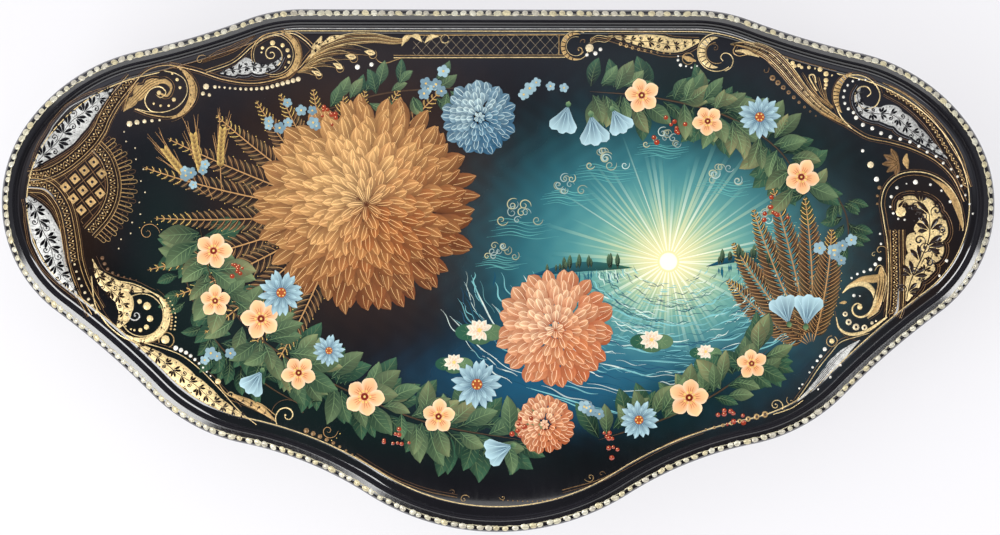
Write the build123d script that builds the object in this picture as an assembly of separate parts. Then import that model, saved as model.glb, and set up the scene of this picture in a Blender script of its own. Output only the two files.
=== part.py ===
from build123d import *

import os
from math import cos, radians, sin

# A shaped papier-mache lacquer box with a hinged lid, all sizes in millimetres and angles in degrees.
#
# The plan is a chain of tangent arcs: a straight back, ogee shoulders, round ends, a waist and a bellied front.
# A wall stands in a base moulding round a bottom board, with a lining that rises past the parting line as a lip.
# The lid is a skirt that meets the wall, a crowned panel glued on it, and a moulded rim that overhangs them.
# The hinge is a barrel of five knuckles on the outer edge of the parting line, glued in turn to wall and skirt.
# X runs along the back, +Y points to the hinge, +Z is up. The origin is under the middle, on the table.

# Plan of the lid's edge, right half, from the middle of the back to the middle of the front
back_half_length = 51.5
shoulder_radius = 41.5
shoulder_angle = 20.5
back_hollow_radius = 217.0
back_hollow_angle = 8.0
end_back_radius = 48.5
end_back_angle = 41.5
end_front_radius = 35.5
end_front_angle = 89.5
waist_radius = 217.0
waist_angle = 8.8
corner_radius = 46.5
corner_angle = 33.8
front_hollow_radius = 97.5
front_hollow_angle = 21.0

# Heights, from the table up
wall_height = 44.0
skirt_height = 8.0
board_recess = 0.6
board_thickness = 4.0
lip_height = 3.0

# Thicknesses and steps, inwards from the lid's edge
rim_overhang = 3.2
wall_thickness = 5.0
lining_thickness = 2.0
lip_clearance = 0.4

# Base moulding: an upright foot under a bevel that runs up to the wall
base_projection = 2.2
base_foot_height = 3.0
base_bevel_height = 2.5

# Lid rim: a round roll from an eased nose up to its crest, then a short fall to a groove
roll_foot_inset = 0.6
roll_nose_height = 1.5
roll_width = 3.1
roll_rise = 2.1
groove_inset = 4.3
groove_height = 2.9

# Lid panel: a steep shoulder out of the groove, then a long low crown up to a flat middle
shoulder_top_inset = 6.3
shoulder_top_height = 4.6
crown_height = 6.4
crown_share = 0.72

# Hinge barrel
knuckle_count = 5
knuckle_length = 15.0
knuckle_gap = 0.3
knuckle_radius = 2.4
knuckle_clearance = 0.3
pin_radius = 0.8
pin_running_clearance = 0.06
plug_length = 1.5

# How far a cutting tool runs past what it cuts
overrun = 1.0

# Where the pieces stand, worked out from the sizes above
parting_height = wall_height
rim_bottom = parting_height + skirt_height
wall_inset = rim_overhang
wall_inner_inset = wall_inset + wall_thickness
lining_inner_inset = wall_inner_inset + lining_thickness
board_top = board_recess + board_thickness
base_inset = rim_overhang - base_projection
crest_height = roll_nose_height + roll_rise
barrel_pitch = knuckle_length + knuckle_gap
barrel_length = knuckle_count * barrel_pitch - knuckle_gap
crown_inset = crown_share * min(shoulder_radius, end_back_radius, end_front_radius, corner_radius)

OUTWARD, HOLLOW = 1, -1
HALF_PLAN = [
    (shoulder_radius, shoulder_angle, OUTWARD),
    (back_hollow_radius, back_hollow_angle, HOLLOW),
    (end_back_radius, end_back_angle, OUTWARD),
    (end_front_radius, end_front_angle, OUTWARD),
    (waist_radius, waist_angle, HOLLOW),
    (corner_radius, corner_angle, OUTWARD),
    (front_hollow_radius, front_hollow_angle, HOLLOW),
]


def half_arcs():
    """Centre, radius, start and end heading and side of each arc of the right half, with the back at y = 0.

    The heading is the clockwise turn away from +X. The last arc is the belly: it leaves the heading that the
    others end on, and closes square to the centre line.
    """
    x, y, heading = back_half_length, 0.0, 0.0
    arcs = []
    for radius, angle, side in HALF_PLAN:
        centre_x = x - side * radius * sin(heading)
        centre_y = y - side * radius * cos(heading)
        start, heading = heading, heading + side * radians(angle)
        arcs.append((centre_x, centre_y, radius, start, heading, side))
        x = centre_x + side * radius * sin(heading)
        y = centre_y + side * radius * cos(heading)
    belly_radius = x / sin(heading)
    belly_centre_y = y - belly_radius * cos(heading)
    arcs.append((0.0, belly_centre_y, belly_radius, heading, radians(180), OUTWARD))
    return arcs


ARCS = half_arcs()
plan_depth = ARCS[-1][2] - ARCS[-1][1]
back_y = plan_depth / 2


def arc_point(arc, heading, inset):
    """The point of an arc at a heading, moved inwards by inset."""
    centre_x, centre_y, radius, _, _, side = arc
    reach = side * radius - inset
    return centre_x + reach * sin(heading), back_y + centre_y + reach * cos(heading)


def outline(inset):
    """The closed plan wire, moved inwards by inset: the straight back, then both halves round to the front."""
    edges = [Line((-back_half_length, back_y - inset), (back_half_length, back_y - inset))]
    for arc in ARCS:
        start, end = arc[3], arc[4]
        points = [arc_point(arc, heading, inset) for heading in (start, (start + end) / 2, end)]
        edges.append(ThreePointArc(*points))
        edges.append(ThreePointArc(*[(-x, y) for x, y in points]))
    return Wire(Wire.combine(edges)[0])


def plate(inset, bottom, top):
    """The whole plan, moved inwards by inset, between two heights."""
    return Pos(0, 0, bottom) * extrude(make_face(outline(inset)), top - bottom)


def band(outer_inset, inner_inset, bottom, top):
    """A wall that follows the plan between two insets and two heights."""
    return plate(outer_inset, bottom, top) - plate(inner_inset, bottom - overrun, top + overrun)


def run_round(profile, bottom):
    """Carries a profile round the plan. The profile's X is the inset from the lid's edge and its Y the height."""
    section_plane = Plane(origin=(0, back_y, bottom), x_dir=(0, -1, 0), z_dir=(-1, 0, 0))
    path = Pos(0, 0, bottom) * outline(0)
    return sweep(section_plane * profile, path=path, transition=Transition.TRANSFORMED)


def knuckle_middle(number):
    """The middle, along X, of a knuckle counted from the left."""
    return (number - (knuckle_count - 1) / 2) * barrel_pitch


BODY_KNUCKLES = range(0, knuckle_count, 2)
LID_KNUCKLES = range(1, knuckle_count, 2)
hinge_axis = Plane(origin=(0, back_y - wall_inset, parting_height), x_dir=(0, 1, 0), z_dir=(1, 0, 0))


def barrel(radius, length, middle):
    """A cylinder on the hinge axis."""
    return hinge_axis * Pos(0, 0, middle) * Cylinder(radius, length)


def knuckle_seats(own, others):
    """What one side of the hinge has cut away: a snug seat for each knuckle of its own, room for the others."""
    snug = [barrel(knuckle_radius, knuckle_length, knuckle_middle(n)) for n in own]
    room_radius, room_length = knuckle_radius + knuckle_clearance, knuckle_length + 2 * knuckle_gap
    room = [barrel(room_radius, room_length, knuckle_middle(n)) for n in others]
    return snug + room


def make_base_moulding():
    """The moulding round the foot of the wall."""
    foot_top = (base_inset, base_foot_height)
    wall_line = (wall_inset, base_foot_height + base_bevel_height)
    return run_round(make_face(Polyline((base_inset, 0), foot_top, wall_line, (wall_inset, 0), close=True)), 0)


def make_wall():
    """The side wall, with the seats of the hinge in the outer edge of its top."""
    wall = band(wall_inset, wall_inner_inset, 0, parting_height)
    return wall - knuckle_seats(BODY_KNUCKLES, LID_KNUCKLES)


def make_lining():
    """The lining, which stands on the board and rises past the parting line as a narrower lip."""
    lip_top = parting_height + lip_height
    lining = band(wall_inner_inset, lining_inner_inset, board_top, lip_top)
    step = band(wall_inset, wall_inner_inset + lip_clearance, parting_height, lip_top + overrun)
    return lining - step


def make_skirt():
    """The side of the lid, flush with the wall, with the other seats of the hinge."""
    skirt = band(wall_inset, wall_inner_inset, parting_height, rim_bottom)
    return skirt - knuckle_seats(LID_KNUCKLES, BODY_KNUCKLES)


def make_rim():
    """The moulded rim, glued on the outer edge of the skirt: the roll from its nose to its crest, then the groove."""
    foot = (roll_foot_inset, 0)
    nose = (0, roll_nose_height)
    crest = (roll_width, crest_height)
    groove = (groove_inset, groove_height)
    edges = [
        TangentArc(crest, nose, tangent=(-1, 0)),
        Polyline(nose, foot, (groove_inset, 0), groove, crest),
    ]
    return run_round(make_face(edges), rim_bottom)


def make_panel():
    """The lid's panel: its shoulder and crown follow the edge, and the flat middle closes it."""
    groove = (groove_inset, groove_height)
    shoulder_top = (shoulder_top_inset, shoulder_top_height)
    crown_middle = (crown_inset, crown_height)
    edges = [
        TangentArc(crown_middle, shoulder_top, tangent=(-1, 0)),
        Polyline(shoulder_top, groove, (groove_inset, 0), (crown_inset, 0), crown_middle),
    ]
    middle = plate(crown_inset, rim_bottom, rim_bottom + crown_height)
    return run_round(make_face(edges), rim_bottom) + middle


def make_knuckle(number, bore_radius):
    """One knuckle of the barrel, with its bore for the pin."""
    middle = knuckle_middle(number)
    return barrel(knuckle_radius, knuckle_length, middle) - barrel(bore_radius, knuckle_length + 2 * overrun, middle)


def make_plug(side):
    """A plug that closes one end of the pin's bore."""
    return barrel(pin_radius, plug_length, side * (barrel_length - plug_length) / 2)


parts = {
    "base_moulding": make_base_moulding(),
    "bottom_board": plate(wall_inner_inset, board_recess, board_top),
    "body_wall": make_wall(),
    "wall_lining": make_lining(),
    "lid_skirt": make_skirt(),
    "lid_rim": make_rim(),
    "lid_panel": make_panel(),
    "hinge_pin": barrel(pin_radius, barrel_length - 2 * plug_length, 0),
    "hinge_plug_left": make_plug(-1),
    "hinge_plug_right": make_plug(1),
}
for place, number in zip(("left", "middle", "right"), BODY_KNUCKLES):
    parts[f"hinge_knuckle_wall_{place}"] = make_knuckle(number, pin_radius)
for place, number in zip(("left", "right"), LID_KNUCKLES):
    parts[f"hinge_knuckle_lid_{place}"] = make_knuckle(number, pin_radius + pin_running_clearance)

os.makedirs("parts", exist_ok=True)
for name, solid in parts.items():
    export_step(Part() + solid, f"parts/{name}.step")
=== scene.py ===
import math

import bpy
import numpy as np
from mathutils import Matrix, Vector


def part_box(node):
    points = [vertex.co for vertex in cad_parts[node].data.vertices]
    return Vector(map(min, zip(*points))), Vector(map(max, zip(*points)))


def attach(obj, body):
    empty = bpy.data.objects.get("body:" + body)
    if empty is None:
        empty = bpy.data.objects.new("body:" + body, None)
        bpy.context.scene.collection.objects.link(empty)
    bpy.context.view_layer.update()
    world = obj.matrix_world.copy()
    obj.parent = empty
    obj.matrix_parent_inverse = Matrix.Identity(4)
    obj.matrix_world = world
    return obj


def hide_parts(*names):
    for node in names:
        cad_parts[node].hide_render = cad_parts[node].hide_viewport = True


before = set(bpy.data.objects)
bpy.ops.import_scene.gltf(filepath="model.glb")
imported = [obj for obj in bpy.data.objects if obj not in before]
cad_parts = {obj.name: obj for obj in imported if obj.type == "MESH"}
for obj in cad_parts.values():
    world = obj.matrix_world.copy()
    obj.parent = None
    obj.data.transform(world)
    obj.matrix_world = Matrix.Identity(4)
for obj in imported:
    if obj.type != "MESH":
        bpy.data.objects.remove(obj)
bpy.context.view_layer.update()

# A shaped lacquer box, black outside and red inside, with a painted and gilded lid on a hinge of knuckles.
# Lengths are millimetres in the box's own frame and angles degrees, unless they say otherwise. MM turns
# millimetres into metres.
MM = 0.001


def corners(node):
    """The lowest and highest corner of a piece of the frame."""
    return [np.array(corner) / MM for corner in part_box(node)]


rim_low, rim_high = corners("lid_rim")
panel_low, panel_high = corners("lid_panel")
wall_low, wall_high = corners("body_wall")
lining_low, lining_high = corners("wall_lining")
board_low, board_high = corners("bottom_board")
base_high = corners("base_moulding")[1]
edge_x, back_y = rim_high[0], rim_high[1]
rim_bottom, parting_height = rim_low[2], wall_high[2]
base_inset, groove_inset = edge_x - base_high[0], edge_x - panel_high[0]
wall_inset, board_inset = edge_x - wall_high[0], edge_x - board_high[0]

# Plan of the lid's edge, right half, from the middle of the back to the middle of the front: the arcs' radii,
# the degrees that they turn, and whether they bulge outwards (1) or are hollow (-1)
back_half_length = 51.5
half_plan = [
    (41.5, 20.5, 1),
    (217.0, 8.0, -1),
    (48.5, 41.5, 1),
    (35.5, 89.5, 1),
    (217.0, 8.8, -1),
    (46.5, 33.8, 1),
    (97.5, 21.0, -1),
]

# Sections of the pieces, as insets from the lid's edge and heights over the piece's foot
roll_foot_inset, roll_nose_height = 0.6, 1.5
crest_inset, crest_height, crest_slope = 3.1, 3.6, 0.44
groove_height = 3.2
shoulder_inset, shoulder_height = 6.3, 4.6
crown_inset, crown_height = 25.56, 6.4
base_foot_height, base_bevel_top = 3.0, 5.5
lining_inset, lip_inset = 10.2, 8.6
seat_radius, room_radius, knuckle_gap = 2.4, 2.7, 0.3
edge_ease = 0.35


# The plan

def half_arcs():
    """Centre, radius, side, start and end heading of each arc of the right half; the belly comes last.

    A heading is the clockwise turn away from +X, in radians. Each arc takes over the point and heading of the
    one before, and the belly's radius is the one that closes square to the centre line.
    """
    x, y, heading, arcs = back_half_length, back_y, 0.0, []
    for radius, turn, side in half_plan:
        centre = (x - side * radius * math.sin(heading), y - side * radius * math.cos(heading))
        start, heading = heading, heading + side * math.radians(turn)
        arcs.append((*centre, radius, side, start, heading))
        x = centre[0] + side * radius * math.sin(heading)
        y = centre[1] + side * radius * math.cos(heading)
    belly_radius = x / math.sin(heading)
    arcs.append((0.0, y - belly_radius * math.cos(heading), belly_radius, 1, heading, math.pi))
    return np.array(arcs)


ARCS = half_arcs()
ARC_LENGTHS = ARCS[:, 2] * np.abs(ARCS[:, 5] - ARCS[:, 4])
ARC_STARTS = back_half_length + np.concatenate([[0.0], np.cumsum(ARC_LENGTHS)[:-1]])
half_edge = ARC_STARTS[-1] + ARC_LENGTHS[-1]


def edge_at(along):
    """The lid's edge at lengths along it, clockwise from the middle of the back: x, y and the inward normal.

    The straight runs in x. An arc's point is its centre plus side times radius times (sine, cosine) of a
    heading that turns evenly with the length. The left half is the right half mirrored.
    """
    along = np.mod(np.asarray(along, float), 2 * half_edge)
    left = along > half_edge
    reach = np.where(left, 2 * half_edge - along, along)
    number = np.clip(np.searchsorted(ARC_STARTS, reach, side="right") - 1, 0, None)
    centre_x, centre_y, radius, side, start, end = ARCS[number].T
    heading = start + (end - start) * (reach - ARC_STARTS[number]) / ARC_LENGTHS[number]
    straight = reach <= back_half_length
    heading = np.where(straight, 0.0, heading)
    x = np.where(straight, reach, centre_x + side * radius * np.sin(heading))
    y = np.where(straight, back_y, centre_y + side * radius * np.cos(heading))
    mirror = np.where(left, -1.0, 1.0)
    return mirror * x, y, -mirror * np.sin(heading), -np.cos(heading)


def edge_distance(x, y):
    """How far points lie inside the lid's edge: the least inset over the straight and the arcs' sectors."""
    reach, y = np.abs(np.asarray(x, float)), np.asarray(y, float)
    nearest = np.where(reach <= back_half_length, back_y - y, np.inf)
    for centre_x, centre_y, radius, side, start, end in ARCS:
        away_x, away_y = reach - centre_x, y - centre_y
        heading = np.arctan2(side * away_x, side * away_y)
        heading = np.where(heading < -0.5, heading + 2 * np.pi, heading)
        inset = side * (radius - np.hypot(away_x, away_y))
        within = (heading >= min(start, end) - 1e-6) & (heading <= max(start, end) + 1e-6)
        nearest = np.where(within & (inset > -1.0), np.minimum(nearest, inset), nearest)
    return np.where(np.isfinite(nearest), nearest, crown_inset)


# The lid's section


def arc_radius(run, rise):
    """The radius of an arc that leaves its top level and falls by a rise over a run."""
    return (run ** 2 + rise ** 2) / (2 * rise)


roll_radius = arc_radius(crest_inset, crest_height - roll_nose_height)
crown_radius = arc_radius(crown_inset - shoulder_inset, crown_height - shoulder_height)


def sharp_height(inset):
    """The lid over the rim's foot: a round nose, a slope to the crest, a groove, a shoulder and a crown."""
    inset = np.clip(inset, 0.0, crown_inset)
    to_crest = crest_inset - inset
    roll = crest_height - roll_radius + np.sqrt(roll_radius ** 2 - np.clip(to_crest, 0.0, crest_inset) ** 2)
    roll = np.minimum(roll, crest_height - to_crest * crest_slope)
    crown = crown_height - crown_radius + np.sqrt(crown_radius ** 2 - (crown_inset - inset) ** 2)
    line_insets = (crest_inset, groove_inset, shoulder_inset)
    lines = np.interp(inset, line_insets, (crest_height, groove_height, shoulder_height))
    return np.where(inset < crest_inset, roll, np.where(inset < shoulder_inset, lines, crown))


def lid_height(inset):
    """The lid's height over the table, with its creases eased by a mean over a short run either side."""
    inset = np.asarray(inset, float)
    ease = np.minimum(edge_ease, np.maximum(inset, 0.0) / 2)
    taps = np.linspace(-1, 1, 5)
    return rim_bottom + np.mean([sharp_height(inset + tap * ease) for tap in taps], axis=0)


def on_lid(x, y, lift):
    """Points of the lid's top, raised by lift."""
    return np.stack([x, y, lid_height(edge_distance(x, y)) + lift], axis=-1)


# Meshes

def grid_quads(rows, columns, close_rows=False, close_columns=False):
    """Quads over a grid of vertices held row by row, each (r, c), (r, c+1), (r+1, c+1), (r+1, c)."""
    r, c = np.divmod(np.arange(rows * columns), columns)
    kept = ((r < rows - 1) | close_rows) & ((c < columns - 1) | close_columns)
    r, c = r[kept], c[kept]
    row, after_row, after = r * columns, (r + 1) % rows * columns, (c + 1) % columns
    return np.stack([row + c, row + after, after_row + after, after_row + c], 1)


def new_mesh(name, vertices, quads, triangles=None):
    """A mesh from arrays: vertices in millimetres, faces as rows of vertex numbers."""
    triangles = np.empty((0, 3), int) if triangles is None else triangles
    loops = np.concatenate([quads.ravel(), triangles.ravel()])
    sizes = np.concatenate([np.full(len(quads), 4), np.full(len(triangles), 3)])
    mesh = bpy.data.meshes.new(name)
    mesh.vertices.add(len(vertices))
    mesh.vertices.foreach_set("co", (vertices * MM).astype(np.float32).ravel())
    mesh.loops.add(len(loops))
    mesh.loops.foreach_set("vertex_index", loops.astype(np.int32))
    mesh.polygons.add(len(sizes))
    mesh.polygons.foreach_set("loop_start", (np.cumsum(sizes) - sizes).astype(np.int32))
    mesh.update(calc_edges=True)
    mesh.validate()
    return mesh


def place_object(name, data):
    """Puts a mesh, a lamp or a camera in the scene."""
    placed = bpy.data.objects.new(name, data)
    bpy.context.scene.collection.objects.link(placed)
    return placed


def new_piece(mesh, body, materials, replaced=(), sharp_degrees=35.0):
    """Puts a mesh in the scene, smooth but for its sharp edges, on the body it rides on, and hides the pieces
    it stands for.
    """
    for material in materials:
        mesh.materials.append(material)
    mesh.shade_smooth()
    mesh.set_sharp_from_angle(angle=math.radians(sharp_degrees))
    piece = place_object(mesh.name, mesh)
    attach(piece, body)
    if replaced:
        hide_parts(*replaced)


def stations(spacing=1.0):
    """Even lengths round the lid's edge."""
    count = int(round(2 * half_edge / spacing))
    return np.arange(count) * 2 * half_edge / count


def side_by_side(*runs):
    """Runs of a profile next to each other: each the same for all rows, or with a row of its own for each."""
    rows = max(len(run) for run in runs if np.ndim(run) == 2)
    return np.concatenate([np.broadcast_to(run, (rows, np.shape(run)[-1])) for run in runs], axis=1)


def ring_sweep(name, along, insets, heights):
    """A closed profile carried round the plan: inset[u, v] from the edge along the normal, height[u, v]."""
    x, y, normal_x, normal_y = (value[:, None] for value in edge_at(along))
    insets, heights = side_by_side(x, insets)[:, 1:], side_by_side(x, heights)[:, 1:]
    points = np.stack([x + normal_x * insets, y + normal_y * insets, heights], axis=-1)
    return new_mesh(name, points.reshape(-1, 3), grid_quads(len(along), insets.shape[-1], True, True))


def plate(name, along, insets, scales, heights):
    """A closed plate: rings at an inset, shrunk by a scale about the middle, between two poles."""
    x, y, normal_x, normal_y = (value[:, None] for value in edge_at(along))
    rings = [(x + normal_x * insets) * scales, (y + normal_y * insets) * scales, heights + 0 * x]
    vertices = np.concatenate([np.stack(rings, -1).reshape(-1, 3), [[0, 0, heights[0]], [0, 0, heights[-1]]]])
    columns = len(heights)
    first = np.arange(len(along)) * columns
    after = np.roll(first, -1)
    low = np.stack([np.full_like(first, len(vertices) - 2), first, after], 1)
    high = np.stack([np.full_like(first, len(vertices) - 1), after + columns - 1, first + columns - 1], 1)
    return new_mesh(name, vertices, grid_quads(len(along), columns, True), np.concatenate([low, high]))


def read(items, what, width=1):
    """One value, or a row of them, from each of a mesh's items."""
    values = np.empty(len(items) * width)
    items.foreach_get(what, values)
    return values.reshape(-1, width)


def set_material_by(mesh, chooses):
    """Gives each face the material number that a function of the face middles and normals says."""
    numbers = chooses(read(mesh.polygons, "center", 3) / MM, read(mesh.polygons, "normal", 3))
    mesh.polygons.foreach_set("material_index", numbers.astype(np.int32))


# Materials

def linear(red, green, blue):
    """A colour given as a painter reads it off a screen, 0 to 255, as the shader's linear value."""
    screen = np.array([red, green, blue]) / 255
    value = np.where(screen <= 0.04045, screen / 12.92, ((screen + 0.055) / 1.055) ** 2.4)
    return tuple(value) + (1.0,)


class Nodes:
    """A short way to add nodes to a tree and join them."""

    def __init__(self, tree):
        self.tree = tree

    def feed(self, socket, value):
        """Links a socket to another or gives it a value."""
        if isinstance(value, bpy.types.NodeSocket):
            self.tree.links.new(value, socket)
        else:
            socket.default_value = value

    def fill(self, sockets, **values):
        """Feeds sockets by name, where an underscore stands for a space."""
        for name, value in values.items():
            self.feed(sockets[name.replace("_", " ")], value)

    def new(self, kind, **settings):
        """A node with its settings."""
        node = self.tree.nodes.new(kind)
        for name, value in settings.items():
            setattr(node, name, value)
        return node

    def add(self, node, **inputs):
        """Feeds a node, given by its kind or as made, and gives its outputs."""
        node = self.new(node) if isinstance(node, str) else node
        self.fill(node.inputs, **inputs)
        return node.outputs

    def row(self, node, *values):
        """Feeds a node's first sockets in order and gives its first output."""
        for socket, value in zip(node.inputs, values):
            self.feed(socket, value)
        return node.outputs[0]

    def mix(self, factor, first, second, blend="MIX"):
        """A mix of two colours."""
        node = self.new("ShaderNodeMix", data_type="RGBA", blend_type=blend)
        for number, value in ((0, factor), (6, first), (7, second)):
            self.feed(node.inputs[number], value)
        return node.outputs[2]

    def span(self, value, from_low, from_high, to_low, to_high):
        """A value carried from one range to another."""
        return self.row(self.new("ShaderNodeMapRange"), value, from_low, from_high, to_low, to_high)

    def maths(self, operation, first, second=0.0):
        """A sum of two values, their product and so on."""
        return self.row(self.new("ShaderNodeMath", operation=operation), first, second)

    def times(self, first, second):
        """The product of two values."""
        return self.maths("MULTIPLY", first, second)

    def noise(self, vector, scale, detail=3.0, roughness=0.5):
        """Soft noise over a vector."""
        noise = self.add("ShaderNodeTexNoise", Vector=vector, Scale=scale, Detail=detail, Roughness=roughness)
        return noise["Fac"]

    def painted(self):
        """The colours painted on the vertices."""
        return self.new("ShaderNodeAttribute", attribute_name="Paint").outputs["Color"]


def new_group(name, outputs, **inputs):
    """A shader node group with named sockets. Gives its nodes, its input sockets and its output sockets."""
    tree = bpy.data.node_groups.new(name, "ShaderNodeTree")
    kinds = {type(None): "NodeSocketVector", tuple: "NodeSocketColor", float: "NodeSocketFloat"}
    for socket_name, value in inputs.items():
        socket = tree.interface.new_socket(socket_name, in_out="INPUT", socket_type=kinds[type(value)])
        if value is not None:
            socket.default_value = value
    for socket_name in outputs:
        kind = "NodeSocketColor" if socket_name == "Colour" else "NodeSocketFloat"
        tree.interface.new_socket(socket_name, in_out="OUTPUT", socket_type=kind)
    nodes = Nodes(tree)
    return nodes, nodes.add("NodeGroupInput"), nodes.new("NodeGroupOutput").inputs


def lacquer_film_group():
    """Hand-rubbed varnish: its colour drifts a little, dust sits in it, and rubbing marks its polish."""
    nodes, given, gives = new_group("lacquer_film", ("Colour", "Roughness", "Height"),
                                    Vector=None, Colour=(0, 0, 0, 1), Dust=0.3, Polish=0.1)
    cloud, specks = nodes.noise(given["Vector"], 28.0, 4.0), nodes.noise(given["Vector"], 1900.0, 2.0)
    waves = nodes.noise(given["Vector"], 70.0, 2.0)
    drift = nodes.mix(nodes.span(cloud, 0.35, 0.7, 0.0, 0.3), given["Colour"], linear(26, 25, 30), "ADD")
    dust = nodes.times(nodes.span(specks, 0.74, 0.82, 0.0, 1.0), given["Dust"])
    wipe_scale, wipe_turn = (160.0, 22.0, 60.0), (0, 0, 0.5)
    wipe = nodes.add("ShaderNodeMapping", Vector=given["Vector"], Scale=wipe_scale, Rotation=wipe_turn)
    marks = nodes.noise(wipe[0], 6.0, 3.0, 0.7)
    nodes.fill(gives, Colour=nodes.mix(dust, drift, linear(120, 118, 122)),
               Roughness=nodes.times(given["Polish"], nodes.span(marks, 0.3, 0.8, 0.7, 1.9)),
               Height=nodes.maths("ADD", waves, nodes.times(dust, 0.25)))
    return nodes.tree


def rubbed_leaf_group():
    """Powdered metal in varnish: grains of lighter and darker leaf, worn places, and a grainy skin."""
    nodes, given, gives = new_group("rubbed_leaf", ("Colour", "Metallic", "Roughness", "Height"), Vector=None,
                                    Colour=(0.8, 0.6, 0.3, 1), Worn=(0.2, 0.1, 0.05, 1), Grain=0.5, Wear=0.4)
    grains = nodes.noise(given["Vector"], 2300.0, 2.0)
    grain = nodes.times(nodes.span(grains, 0.38, 0.62, -0.5, 0.5), given["Grain"])
    lit = nodes.add("ShaderNodeHueSaturation", Color=given["Colour"], Value=nodes.maths("ADD", grain, 1.0))[0]
    patches = nodes.span(nodes.noise(given["Vector"], 420.0, 4.0, 0.65), 0.52, 0.68, 0.0, 1.0)
    wear = nodes.times(patches, given["Wear"])
    nodes.fill(gives, Colour=nodes.mix(wear, lit, given["Worn"]), Height=grains,
               Metallic=nodes.span(wear, 0.0, 1.0, 0.38, 0.1),
               Roughness=nodes.span(grains, 0.35, 0.65, 0.32, 0.5))
    return nodes.tree


LACQUER_FILM = lacquer_film_group()
RUBBED_LEAF = rubbed_leaf_group()


def begin_material(name):
    """A material with its nodes, ready to wire, and the inputs of its shader."""
    material = bpy.data.materials.new(name)
    material.use_nodes = True
    return material, Nodes(material.node_tree), material.node_tree.nodes["Principled BSDF"].inputs


def place_group(nodes, tree, **inputs):
    """Places a node group over the Object coordinates of the piece."""
    vector = nodes.add("ShaderNodeTexCoord")["Object"]
    return nodes.add(nodes.new("ShaderNodeGroup", node_tree=tree), Vector=vector, **inputs)


def relief(nodes, height, strength, depth):
    """A shader's normal over a height."""
    return nodes.add("ShaderNodeBump", Strength=strength, Distance=depth * MM, Height=height)[0]


def lacquer(name, colour, dust, polish, coat=1.0, coat_roughness=0.04):
    """Polished varnish over a colour, or over the colours painted on the vertices where there is none."""
    material, nodes, shader = begin_material(name)
    colour = colour or nodes.painted()
    film = place_group(nodes, LACQUER_FILM, Colour=colour, Dust=dust, Polish=polish)
    nodes.fill(shader, Base_Color=film["Colour"], Roughness=film["Roughness"], IOR=1.52, Coat_Weight=coat,
               Coat_Roughness=coat_roughness, Normal=relief(nodes, film["Height"], 0.05, 0.4))
    return material


def metal_leaf(name, worn, grain, wear, coat=0.25):
    """Powdered gold or silver in varnish, over the colours painted on the vertices."""
    material, nodes, shader = begin_material(name)
    leaf = place_group(nodes, RUBBED_LEAF, Colour=nodes.painted(), Worn=worn, Grain=grain, Wear=wear)
    nodes.fill(shader, Base_Color=leaf["Colour"], Metallic=leaf["Metallic"], Roughness=leaf["Roughness"],
               Coat_Weight=coat, Coat_Roughness=0.1, Normal=relief(nodes, leaf["Height"], 0.3, 0.05))
    return material


def brushed_steel():
    """Drawn wire: fine scratches along X."""
    material, nodes, shader = begin_material("drawn_steel")
    vector = nodes.add("ShaderNodeTexCoord")["Object"]
    drawn_out = nodes.add("ShaderNodeMapping", Vector=vector, Scale=(8.0, 900.0, 900.0))[0]
    scratches = nodes.noise(drawn_out, 4.0, 4.0)
    nodes.fill(shader, Base_Color=nodes.mix(scratches, linear(150, 150, 155), linear(200, 200, 204)),
               Roughness=nodes.span(scratches, 0.3, 0.7, 0.22, 0.42), Metallic=1.0)
    return material


BLACK_LACQUER = lacquer("black_lacquer", linear(11, 10, 12), 0.25, 0.11, coat_roughness=0.09)
RIM_LACQUER = lacquer("rim_lacquer", linear(13, 12, 14), 0.25, 0.15, coat_roughness=0.14)
RED_LACQUER = lacquer("red_lacquer", linear(146, 22, 14), 0.2, 0.12)
PAINTED_LACQUER = lacquer("painted_lacquer", None, 0.15, 0.08)
GOLD_PAINT = metal_leaf("gold_paint", linear(96, 62, 34), 0.45, 0.5)
PEARL_PAINT = metal_leaf("pearl_paint", linear(120, 104, 70), 0.3, 0.35, coat=0.4)
SILVER_PAINT = metal_leaf("silver_paint", linear(84, 84, 88), 0.5, 0.25)
INK = lacquer("inked_lines", None, 0.1, 0.12, coat=0.5)
STEEL = brushed_steel()


# The shells of the box and the lid

knuckle_boxes = {name: corners(name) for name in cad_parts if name.startswith("hinge_knuckle")}
hinge_y = knuckle_boxes["hinge_knuckle_wall_middle"][0][1] + seat_radius


def hinge_stations(body):
    """Lengths along the edge from the left of the hinge's back, and the radius of the seat at each of them.

    Seats lie side by side. Each brings its own pair of ends, so that the step from one to the next is square.
    """
    seats = []
    for name, (low, high) in knuckle_boxes.items():
        own = f"knuckle_{body}" in name
        gap = 0.0 if own else knuckle_gap
        seats.append((low[0] - gap, high[0] + gap, seat_radius if own else room_radius))
    seats.sort()
    first, last = seats[0][0], seats[-1][1]
    signed = np.sort((stations() + half_edge) % (2 * half_edge) - half_edge)
    before, after = signed[signed < first], signed[signed > last]
    along = [before, [first]] + [np.linspace(left, right, 16) for left, right, _ in seats] + [[last], after]
    radii = [0 * before, [0.0]] + [np.full(16, radius) for _, _, radius in seats] + [[0.0], 0 * after]
    return np.concatenate(along), np.concatenate(radii)


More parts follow.
